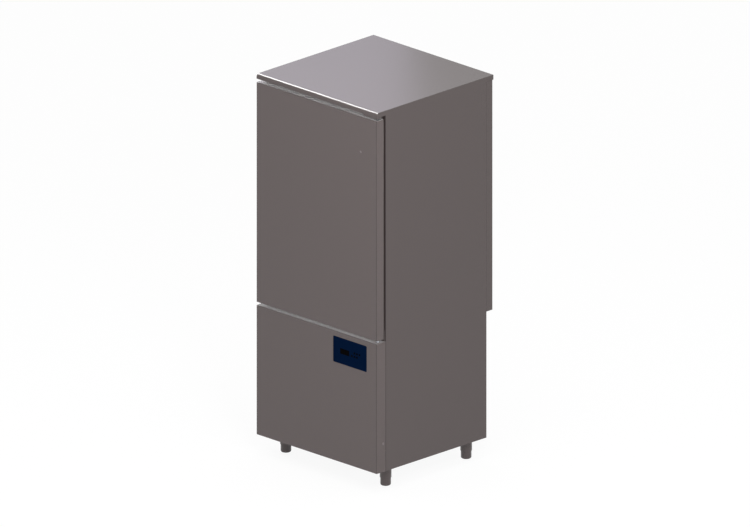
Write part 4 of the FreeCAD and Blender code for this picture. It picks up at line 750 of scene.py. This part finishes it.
CHAMBER_FANS = ("chamber_fan_1", "chamber_fan_2")
FANS = dict.fromkeys(CHAMBER_FANS, {"tip": 0.1445, "hub": 0.032, "depth": 0.036, "nose_y": 0.157})
FANS["condenser_fan"] = {"tip": 0.1415, "hub": 0.036, "depth": 0.040, "nose_y": 0.2518}
SPIN_AXES = {joint["child"]: Vector(joint["pos_m"]) for joint in frame["joints"]
             if joint["child"] in FANS}
FAN_BLADES = 5
FAN_NOSE = [(0.55, 0), (0.80, 0.002), (0.94, 0.006), (1, 0.013)]
SHAFT_RADIUS = 0.0049
SHAFT_TIP_RADIUS = 0.0041
SHAFT_CHAMFER = 0.001
SHAFT_LENGTH = 0.0238
BLADE_START = 0.8  # share of the hub's radius, so that the blade is rooted in it
BLADE_HALF_WIDTH = 0.13  # share of the tip's radius
BLADE_SWELL = 0.13
BLADE_SWELL_TURN = 2.2
BLADE_SWEEP = 0.16
BLADE_TIP_ROUND = 0.07
BLADE_PITCH = 0.40  # share of the hub's depth
BLADE_TWIST = 0.25
BLADE_BOW = 0.12
BLADE_THICKNESS = 0.0018
CHAMBER_MOTOR = {"radius": 0.042, "long": 0.046, "reach": 0.161}
CONDENSER_MOTOR = {"radius": 0.046, "long": 0.060, "reach": 0.148}
MOTOR_BORE = 0.0056
MOTOR_BORE_DEPTH = 0.021
MOTOR_FACE = [(0.42, 0), (0.45, 0.003), (0.92, 0.004), (1, 0.008)]
MOTOR_BACK = [(1, 0.006), (0.94, 0.001), (0.5, 0)]
MOTOR_RIB = [(1, 0), (0.95, 0.2), (0.95, 0.6), (1, 0.8)]
MOTOR_RIBS = 5
MOTOR_RIB_START = 0.010  # case's ends to its ribs
MOTOR_ARMS = 3
ARM_RADIUS = 0.0025
ARM_BEND = 0.008
ARM_ROOT = 0.9  # share of the motor's radius
ARM_SETBACK = 0.002
GUARD_FRAME = 0.008
GUARD_FRAME_EDGE = 0.0008
GUARD_WIRES = 23
GUARD_TIES = 3
WIRE_GAP = 0.0002


def add_blade(bm, root, tip, hub_depth):
    """Swept blade: a grid bowed across the air, broader towards its rounded tip."""
    before = set(bm.verts)
    made = bmesh.ops.create_grid(bm, x_segments=8, y_segments=8, size=1)["verts"]
    for vert in made:
        out = (vert.co.x + 1) / 2
        across = vert.co.y
        half = tip * (BLADE_HALF_WIDTH + BLADE_SWELL * math.sin(BLADE_SWELL_TURN * out))
        aside = half * across - BLADE_SWEEP * tip * out * out
        reach = root + (tip - root) * out * (1 - BLADE_TIP_ROUND * across * across * out)
        up = math.sqrt(max(reach * reach - aside * aside, 0.3 * root * root))
        lean = hub_depth * (0.5 + BLADE_PITCH * across * (1 - BLADE_TWIST * out))
        bow = BLADE_BOW * hub_depth * (1 - across * across)
        vert.co = Vector((aside, lean - bow, up))
    bmesh.ops.solidify(bm, geom=faces_at(made), thickness=BLADE_THICKNESS)
    return [v for v in bm.verts if v not in before]


def make_fan(node):
    """Moulded wheel: hub with a rounded nose, swept blades and a shaft end."""
    sizes = FANS[node]
    hub, depth = sizes["hub"], sizes["depth"]
    shaft_end = depth + SHAFT_LENGTH
    bm = bmesh.new()
    for number in range(FAN_BLADES):
        blade = add_blade(bm, hub * BLADE_START, sizes["tip"], depth)
        turn_about(bm, blade, Matrix.Rotation(FULL_TURN * number / FAN_BLADES, 3, "Y"))
    nose = [(hub * out, back) for out, back in FAN_NOSE]
    add_turned(bm, [(0, 0), *nose, (hub, depth), (0, depth)], ORIGIN, Y_AXIS, steps=40)
    add_turned(bm, [(0, depth), (SHAFT_RADIUS, depth), (SHAFT_RADIUS, shaft_end - SHAFT_CHAMFER),
                    (SHAFT_TIP_RADIUS, shaft_end), (0, shaft_end)], ORIGIN, Y_AXIS, steps=24)
    if node == "condenser_fan":
        turn_about(bm, bm.verts, Matrix.Rotation(FULL_TURN / 2, 3, "Z"))
    axis = SPIN_AXES[node]
    move(bm, bm.verts, (axis.x, sizes["nose_y"], axis.z))
    stand_in(node + "_moulded", bm, node)


def add_motor(bm, centre, facing, sizes, arm_back):
    """Ribbed motor case with a bored nose, carried on three cranked wire arms."""
    radius = sizes["radius"]
    long = sizes["long"]
    outline = [(0, MOTOR_BORE_DEPTH), (MOTOR_BORE, MOTOR_BORE_DEPTH), (MOTOR_BORE, 0)]
    outline += [(radius * out, back) for out, back in MOTOR_FACE]
    step = (long - 2 * MOTOR_RIB_START) / MOTOR_RIBS
    for rib in range(MOTOR_RIBS):
        start = MOTOR_RIB_START + step * rib
        outline += [(radius * out, start + step * back) for out, back in MOTOR_RIB]
    outline += [(radius * out, long - end) for out, end in MOTOR_BACK]
    add_turned(bm, [*outline, (0, long)], centre, facing, steps=40)
    side = long / 3 + ARM_SETBACK
    middle = Vector(centre) + facing * side
    for number in range(MOTOR_ARMS):
        outward = Matrix.Rotation(FULL_TURN * number / MOTOR_ARMS, 3, Y_AXIS) @ Z_AXIS
        start = middle + outward * radius * ARM_ROOT
        elbow = middle + outward * (sizes["reach"] + ARM_SETBACK)
        add_pipe(bm, [start, elbow, elbow - facing * (side + arm_back)], ARM_BEND, ARM_RADIUS,
                 sides=12, arc_steps=5)


def make_motors():
    """Both chamber fans' motors behind the air panel, and the condenser fan's motor."""
    bm = bmesh.new()
    sheet_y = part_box("fan_baffle")[0].y + SHEET
    for node in CHAMBER_FANS:
        axis = SPIN_AXES[node]
        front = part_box("fan_motors")[1].y - CHAMBER_MOTOR["long"]
        add_motor(bm, (axis.x, front, axis.z), Y_AXIS, CHAMBER_MOTOR, front - sheet_y)
    stand_in("fan_motors_ribbed", bm, "fan_motors")
    bm = bmesh.new()
    axis = SPIN_AXES["condenser_fan"]
    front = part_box("condenser_fan_motor")[0].y + CONDENSER_MOTOR["long"]
    sheet_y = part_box("condenser_shroud")[0].y
    add_motor(bm, (axis.x, front, axis.z), -Y_AXIS, CONDENSER_MOTOR, sheet_y - front)
    stand_in("condenser_fan_motor_ribbed", bm, "condenser_fan_motor")


def make_guards():
    """Welded wire grilles over the fan openings."""
    low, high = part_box("fan_guards")
    half = (high.x - low.x) / 2
    inner = half - GUARD_FRAME
    radius = ((high.y - low.y) / 2 - WIRE_GAP) / 2
    wire = [(0, 0), (radius, 0), (radius, 2 * inner), (0, 2 * inner)]
    bm = bmesh.new()
    for node in CHAMBER_FANS:
        level = SPIN_AXES[node].z
        for edge in (-half, inner):
            add_block(bm, (-half, low.y, level + edge),
                      (half, high.y, level + edge + GUARD_FRAME), GUARD_FRAME_EDGE)
            add_block(bm, (edge, low.y, level - inner),
                      (edge + GUARD_FRAME, high.y, level + inner), GUARD_FRAME_EDGE)
        for number in range(1, GUARD_WIRES + 1):
            z = level - inner + 2 * inner * number / (GUARD_WIRES + 1)
            add_turned(bm, wire, (-inner, low.y + radius, z), X_AXIS, steps=8)
        for number in range(1, GUARD_TIES + 1):
            x = -inner + 2 * inner * number / (GUARD_TIES + 1)
            add_turned(bm, wire, (x, high.y - radius, level - inner), Z_AXIS, steps=8)
    stand_in("fan_guards_wire", bm, "fan_guards")


for name in FANS:
    make_fan(name)
make_motors()
make_guards()


# ---- Evaporator and condenser ----

FIN_SHEET = 0.0003
COIL_TUBE = 0.005
COIL_TUBE_START = 0.004  # tubes' reach out of the fins at the left
COIL_BEND = 0.98  # share of the widest bend
EVAPORATOR_FIN_PITCH = 0.006
EVAPORATOR_ROWS = 18
CONDENSER_FIN_PITCH = 0.004
CONDENSER_ROWS = 9


def make_coil(node, fin_pitch, rows):
    """Thin upright fins on two columns of tubes, which turn round at the right end."""
    low, high = max(solids_of(node), key=lambda box: (box[1] - box[0]).length)
    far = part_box(node)[1].x
    count = int((high.x - low.x) / fin_pitch)
    bm = bmesh.new()
    add_block(bm, low, (low.x + FIN_SHEET, high.y, high.z))
    fin = list(bm.verts)
    step = (high.x - low.x - FIN_SHEET) / count
    repeated(bm, fin + edges_at(fin) + faces_at(fin), Vector((step, 0, 0)), count + 1)
    quarter = (high.y - low.y) / 4
    end = far - COIL_TUBE
    start = low.x - COIL_TUBE_START
    for row in range(rows):
        z = low.z + (high.z - low.z) * (row + 0.5) / rows
        add_pipe(bm, [(start, low.y + quarter, z), (end, low.y + quarter, z),
                      (end, high.y - quarter, z), (start, high.y - quarter, z)],
                 quarter * COIL_BEND, COIL_TUBE, sides=12)
    stand_in(node + "_finned", bm, node)


make_coil("evaporator_coil", EVAPORATOR_FIN_PITCH, EVAPORATOR_ROWS)
make_coil("condenser_coil", CONDENSER_FIN_PITCH, CONDENSER_ROWS)


# ---- Refrigeration parts under the chamber ----

SHELL_SEAM = 0.170  # compressor's foot plate to the weld of its shell
SHELL_FOOT_PLATE = 0.004
SHELL_FOOT_EDGE = 0.0012
TERMINAL_HALF = 0.035
TERMINAL_TALL = 0.090
TERMINAL_DEEP = 0.042
MOUNT_WAIST = [(0, 0), (1, 0), (1, 0.22), (0.72, 0.38), (0.72, 0.62), (1, 0.78), (1, 1), (0, 1)]
VESSEL_FOOT = [(0.75, 0.006), (0.80, 0), (0.86, 0), (0.92, 0.010), (1, 0.028)]
VESSEL_HEAD = [(1, 0.030), (0.93, 0.014), (0.70, 0.004), (0.30, 0)]
DRIER_OUTLINE = [(0, 0), (0.32, 0), (0.32, 0.08), (0.75, 0.17), (1, 0.24),
                 (1, 0.76), (0.75, 0.83), (0.32, 0.92), (0.32, 1), (0, 1)]
PIPE_BEND = 0.026
PIPE_SHAFT_X = 0.302
PIPE_SHAFT_Y = 0.280
PIPE_HALF_SPACING = 0.015
LIQUID_RADIUS = 0.0049
SUCTION_RADIUS = 0.0079
GAS_PORT_DROP = 0.010  # condenser's top to its inlet
RECEIVER_INLET = 0.030  # receiver's foot to its inlet
END_PLATE_LIP = 0.002  # evaporator's end plates over its coil
LIQUID_PORT_RISE = 0.020  # evaporator's lower end to its inlet
SUCTION_PORT_RISE = 0.020  # inlet to outlet
SUCTION_HEIGHT = 0.085  # compressor's foot plate to its suction port
SUCTION_START = 0.094  # its axis to the pipe's end


def make_compressor():
    """Hermetic shell with a domed top, weld bead, foot plate and terminal cover."""
    low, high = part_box("compressor")
    mounts_low, mounts_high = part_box("compressor_mounts")
    x = (low.x + high.x) / 2
    y = (mounts_low.y + mounts_high.y) / 2
    tall = high.z - low.z
    bm = bmesh.new()
    add_turned(bm, [(0, 0.004), (0.080, 0.004), (0.090, 0.010), (0.0945, 0.022), (0.095, 0.034),
                    (0.095, SHELL_SEAM - 0.003), (0.0958, SHELL_SEAM), (0.0945, SHELL_SEAM + 0.003),
                    (0.091, SHELL_SEAM + 0.005), (0.091, tall - 0.044), (0.088, tall - 0.026),
                    (0.078, tall - 0.012), (0.060, tall - 0.004), (0.035, tall - 0.0006),
                    (0, tall)], (x, y, low.z), steps=56)
    half = (high.x - low.x) / 2
    add_block(bm, (x - half, y - half, low.z),
              (x + half, y + half, low.z + SHELL_FOOT_PLATE), SHELL_FOOT_EDGE)
    add_block(bm, (x - TERMINAL_HALF, low.y, low.z + SHELL_SEAM - TERMINAL_TALL),
              (x + TERMINAL_HALF, low.y + TERMINAL_DEEP, low.z + SHELL_SEAM), 0.004, 3)
    stand_in("compressor_shell", bm, "compressor")


def make_mounts():
    """Waisted rubber mounts under the compressor's foot plate."""
    bm = bmesh.new()
    for low, high in solids_of("compressor_mounts"):
        centre, radius, tall = standing(low, high)
        add_turned(bm, scaled(MOUNT_WAIST, radius, tall), centre, steps=32)
    stand_in("compressor_mounts_rubber", bm, "compressor_mounts")


def make_receiver():
    """Upright vessel with dished ends and a foot ring."""
    low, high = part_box("liquid_receiver")
    centre, radius, tall = standing(low, high)
    foot = [(radius * out, up) for out, up in VESSEL_FOOT]
    head = [(radius * out, tall - drop) for out, drop in VESSEL_HEAD]
    bm = bmesh.new()
    add_turned(bm, [(0, foot[0][1]), *foot, *head, (0, tall)], centre, steps=48)
    stand_in("liquid_receiver_vessel", bm, "liquid_receiver")


def make_drier():
    """Spun vessel with a neck at each end."""
    low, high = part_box("filter_drier")
    middle = (low + high) / 2
    bm = bmesh.new()
    add_turned(bm, scaled(DRIER_OUTLINE, (high.z - low.z) / 2, high.x - low.x),
               (low.x, middle.y, middle.z), X_AXIS, steps=36)
    stand_in("filter_drier_spun", bm, "filter_drier")


def make_pipes():
    """Copper pipes between the vessels, with drawn bends."""
    compressor_low, compressor_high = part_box("compressor")
    mounts_low, mounts_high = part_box("compressor_mounts")
    stub = Vector(((compressor_low.x + compressor_high.x) / 2,
                   (mounts_low.y + mounts_high.y) / 2, compressor_high.z))
    coil_low, coil_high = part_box("condenser_coil")
    plate_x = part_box("condenser_end_plates")[1].x
    riser_x = plate_x + 2 * PIPE_BEND
    port_y = (coil_low.y + coil_high.y) / 2
    gas_z = max(stub.z, coil_high.z) + 2 * PIPE_BEND
    high_port = coil_high.z - GAS_PORT_DROP
    receiver_low, receiver_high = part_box("liquid_receiver")
    receiver = (receiver_low + receiver_high) / 2
    inlet = Vector((receiver_high.x, receiver.y, receiver_low.z + RECEIVER_INLET))
    drier_low, drier_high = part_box("filter_drier")
    drier_z = (drier_low.z + drier_high.z) / 2
    evaporator_low, evaporator_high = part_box("evaporator_end_plates")
    shaft_x = PIPE_SHAFT_X
    liquid_y = PIPE_SHAFT_Y - PIPE_HALF_SPACING
    suction_y = PIPE_SHAFT_Y + PIPE_HALF_SPACING
    liquid_z = evaporator_low.z + END_PLATE_LIP + LIQUID_PORT_RISE
    suction_z = liquid_z + SUCTION_PORT_RISE
    waist = compressor_low.z + SUCTION_HEIGHT
    hot_gas = [stub, (stub.x, stub.y, gas_z), (riser_x, stub.y, gas_z), (riser_x, port_y, gas_z),
               (riser_x, port_y, high_port), (plate_x, port_y, high_port)]
    condensate = [(plate_x, port_y, inlet.z), (riser_x, port_y, inlet.z),
                  (riser_x, inlet.y, inlet.z), inlet]
    charge = [(receiver.x, receiver.y, receiver_high.z), (receiver.x, receiver.y, drier_z),
              (drier_low.x, receiver.y, drier_z)]
    liquid = [(drier_high.x, receiver.y, drier_z), (shaft_x, receiver.y, drier_z),
              (shaft_x, liquid_y, drier_z), (shaft_x, liquid_y, liquid_z),
              (evaporator_high.x, liquid_y, liquid_z)]
    suction = [(stub.x + SUCTION_START, stub.y, waist), (shaft_x, stub.y, waist),
               (shaft_x, suction_y, waist), (shaft_x, suction_y, suction_z),
               (evaporator_high.x, suction_y, suction_z)]
    bm = bmesh.new()
    for route in (hot_gas, condensate, charge, liquid):
        add_pipe(bm, route, PIPE_BEND, LIQUID_RADIUS)
    add_pipe(bm, suction, PIPE_BEND, SUCTION_RADIUS)
    stand_in("refrigerant_pipes_drawn", bm, "refrigerant_pipes")


make_compressor()
make_mounts()
make_receiver()
make_drier()
make_pipes()


# ---- Drain and cable inlet ----

DRAIN_BORE = 0.0105
DRAIN_RADIUS = 0.0125
SPIGOT_LENGTH = 0.0300
GLAND_BORE = 0.0071
GLAND_CLEARANCE = 1.16  # shank's corners clear the bore, as a share of it
GLAND_SHANK = 0.0128
GLAND_NUT = 0.008
GLAND_LAP = 0.0078  # cap's start, inside the nut
GLAND_CAP = 0.0142


def make_drain():
    """Moulded drain tube with its thicker outlet spigot."""
    low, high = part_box("drain_pipe")
    centre, spigot, tall = standing(low, high)
    bm = bmesh.new()
    add_turned(bm, [(DRAIN_BORE, 0), (spigot - 0.001, 0), (spigot, 0.001), (spigot, 0.029),
                    (spigot - 0.0008, 0.0298), (DRAIN_RADIUS, SPIGOT_LENGTH),
                    (DRAIN_RADIUS, tall), (DRAIN_BORE, tall)], centre, steps=44, closed=True)
    stand_in("drain_pipe_moulded", bm, "drain_pipe")


def make_gland():
    """Cable gland: hexagonal shank and nut, rounded cap and round bore."""
    low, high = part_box("cable_gland")
    middle = (low + high) / 2
    inside = GLAND_BORE * GLAND_CLEARANCE
    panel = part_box("rear_lower_panel")[0].y + SHEET
    out = high.y - panel
    wide = (high.x - low.x) / 2
    centre = (middle.x, panel, middle.z)
    bm = bmesh.new()
    add_turned(bm, [(inside, low.y - panel), (GLAND_SHANK, low.y - panel), (GLAND_SHANK, 0.0),
                    (wide, 0.0), (wide, GLAND_NUT), (inside, GLAND_NUT)],
               centre, Y_AXIS, steps=6, closed=True)
    add_turned(bm, [(GLAND_BORE, GLAND_LAP), (GLAND_CAP, GLAND_LAP), (GLAND_CAP, out - 0.005),
                    (0.0128, out - 0.0015), (0.0110, out), (GLAND_BORE, out)],
               centre, Y_AXIS, steps=36, closed=True)
    stand_in("cable_gland_capped", bm, "cable_gland")


make_drain()
make_gland()


# ---- Floor, light and camera ----

MIDDLE = Vector((0, 0, 0.9455))
FRONT_EDGE = Vector((0, -0.36, 1.88))
ROOM_LIGHT = 0.60
FLOOR_HALF = 20
FLOOR_DROP = 0.0002  # floor below the feet
FLOOR_COLOUR = (0.8, 0.8, 0.8, 1)
FLOOR_WHITE = 0.85  # share of plain white that the camera sees in the floor
FLOOR_GLOW = 1.07
GAP_LIGHT = 0.34
GAP_LIGHT_SPREAD = math.radians(34)
VIEW_WIDTH = 3.491
VIEW_FROM = Vector((2, -2, 1))
VIEW_DISTANCE = 8


def reflected_rays(tree):
    """Mask of the camera's rays and of those that metal and glass send on."""
    path = node_with(tree, "LightPath")
    mask = path.outputs["Is Camera Ray"]
    for kind in ("Is Glossy Ray", "Is Transmission Ray"):
        either = math_node(tree, "MAXIMUM")
        tree.links.new(mask, either.inputs[0])
        tree.links.new(path.outputs[kind], either.inputs[1])
        mask = either.outputs["Value"]
    return mask


def light_room():
    """White surroundings that light the object less than they show."""
    world = bpy.data.worlds.new("studio")
    bpy.context.scene.world = world
    world.use_nodes = True
    tree = world.node_tree
    link = tree.links.new
    shown = tree.nodes["Background"]
    shown.inputs["Color"].default_value = (1, 1, 1, 1)
    shown.inputs["Strength"].default_value = 1.0
    lit = node_with(tree, "Background", Color=(1, 1, 1, 1), Strength=ROOM_LIGHT)
    mix = node_with(tree, "MixShader")
    link(reflected_rays(tree), mix.inputs["Fac"])
    link(lit.outputs["Background"], mix.inputs[1])
    link(shown.outputs["Background"], mix.inputs[2])
    link(mix.outputs["Shader"], tree.nodes["World Output"].inputs["Surface"])


def lay_floor():
    """Pale floor that looks white and keeps a soft shadow."""
    bm = bmesh.new()
    bmesh.ops.create_grid(bm, x_segments=1, y_segments=1, size=FLOOR_HALF)
    floor = put_in_scene("floor", meshed("floor", bm))
    floor.location.z = -FLOOR_DROP
    material = bpy.data.materials.new("pale_floor")
    material.use_nodes = True
    tree = material.node_tree
    link = tree.links.new
    tree.nodes.remove(tree.nodes["Principled BSDF"])
    matte = node_with(tree, "BsdfDiffuse", Color=FLOOR_COLOUR)
    white = node_with(tree, "Emission", Strength=FLOOR_GLOW)
    mix = node_with(tree, "MixShader")
    share = math_node(tree, "MULTIPLY", FLOOR_WHITE)
    link(reflected_rays(tree), share.inputs[0])
    link(share.outputs["Value"], mix.inputs["Fac"])
    link(matte.outputs["BSDF"], mix.inputs[1])
    link(white.outputs["Emission"], mix.inputs[2])
    link(mix.outputs["Shader"], tree.nodes["Material Output"].inputs["Surface"])
    floor.data.materials.append(material)


def place_lamp(name, kind, toward, aim, distance, strength):
    """Lamp of a kind that shines on a point from a direction, hidden from the camera."""
    lamp = bpy.data.lights.new(name, kind)
    lamp.energy = strength
    holder = put_in_scene(name, lamp)
    direction = Vector(toward).normalized()
    holder.location = Vector(aim) + direction * distance
    holder.rotation_euler = direction.to_track_quat("Z", "Y").to_euler()
    holder.visible_camera = False
    return lamp


def hang_panel(name, toward, aim, distance, size, strength, colour=(1, 1, 1)):
    """Soft rectangular lamp of a size, a strength in watts and a colour."""
    lamp = place_lamp(name, "AREA", toward, aim, distance, strength)
    lamp.shape = "RECTANGLE"
    lamp.size, lamp.size_y = size
    lamp.color = colour


def hang_gap_light(pieces):
    """Light from behind on some pieces alone, for their upward faces in the gaps."""
    lamp = place_lamp("gap_light", "SUN", (-0.667, 0.667, 0.333), MIDDLE, 6, GAP_LIGHT)
    lamp.angle = GAP_LIGHT_SPREAD
    lamp.use_shadow = False
    lamp.cycles.use_multiple_importance_sampling = False
    lit = bpy.data.collections.new("gap_lit")
    for name in pieces:
        lit.objects.link(bpy.data.objects[name])
    bpy.data.objects["gap_light"].light_linking.receiver_collection = lit


def set_camera():
    """Camera without perspective, at the photograph's angle."""
    camera = bpy.data.cameras.new("camera")
    camera.type = "ORTHO"
    camera.ortho_scale = VIEW_WIDTH
    camera.clip_end = 60
    holder = put_in_scene("camera", camera)
    direction = VIEW_FROM.normalized()
    holder.location = MIDDLE + direction * VIEW_DISTANCE
    holder.rotation_euler = (-direction).to_track_quat("-Z", "Y").to_euler()
    bpy.context.scene.camera = holder


light_room()
lay_floor()
# Each lamp: where it shines from, the point that it aims at, its distance, size and strength.
hang_panel("key_lamp", (2.0, -1.47, 1.4), MIDDLE, 6.0, (1.2, 1.2), 73)
hang_panel("overhead_lamp", (1.0, -0.9, 3.2), MIDDLE, 3.55, (2.4, 2.4), 28)
hang_panel("top_sheen_lamp", (-0.70, 0.60, 0.333), FRONT_EDGE, 2.95, (1.3, 1.3), 5.2,
           (0.86, 0.80, 1.0))
hang_panel("nose_strip", (-0.667, 0.148, 0.731), FRONT_EDGE, 4.0, (1.4, 3.2), 360)
bpy.data.objects["nose_strip"].visible_diffuse = False  # a line of light along the nose
hang_gap_light(("door_outer_skin_finished", "lower_front_panel_finished"))
set_camera()

bpy.context.scene.view_settings.view_transform = "Standard"
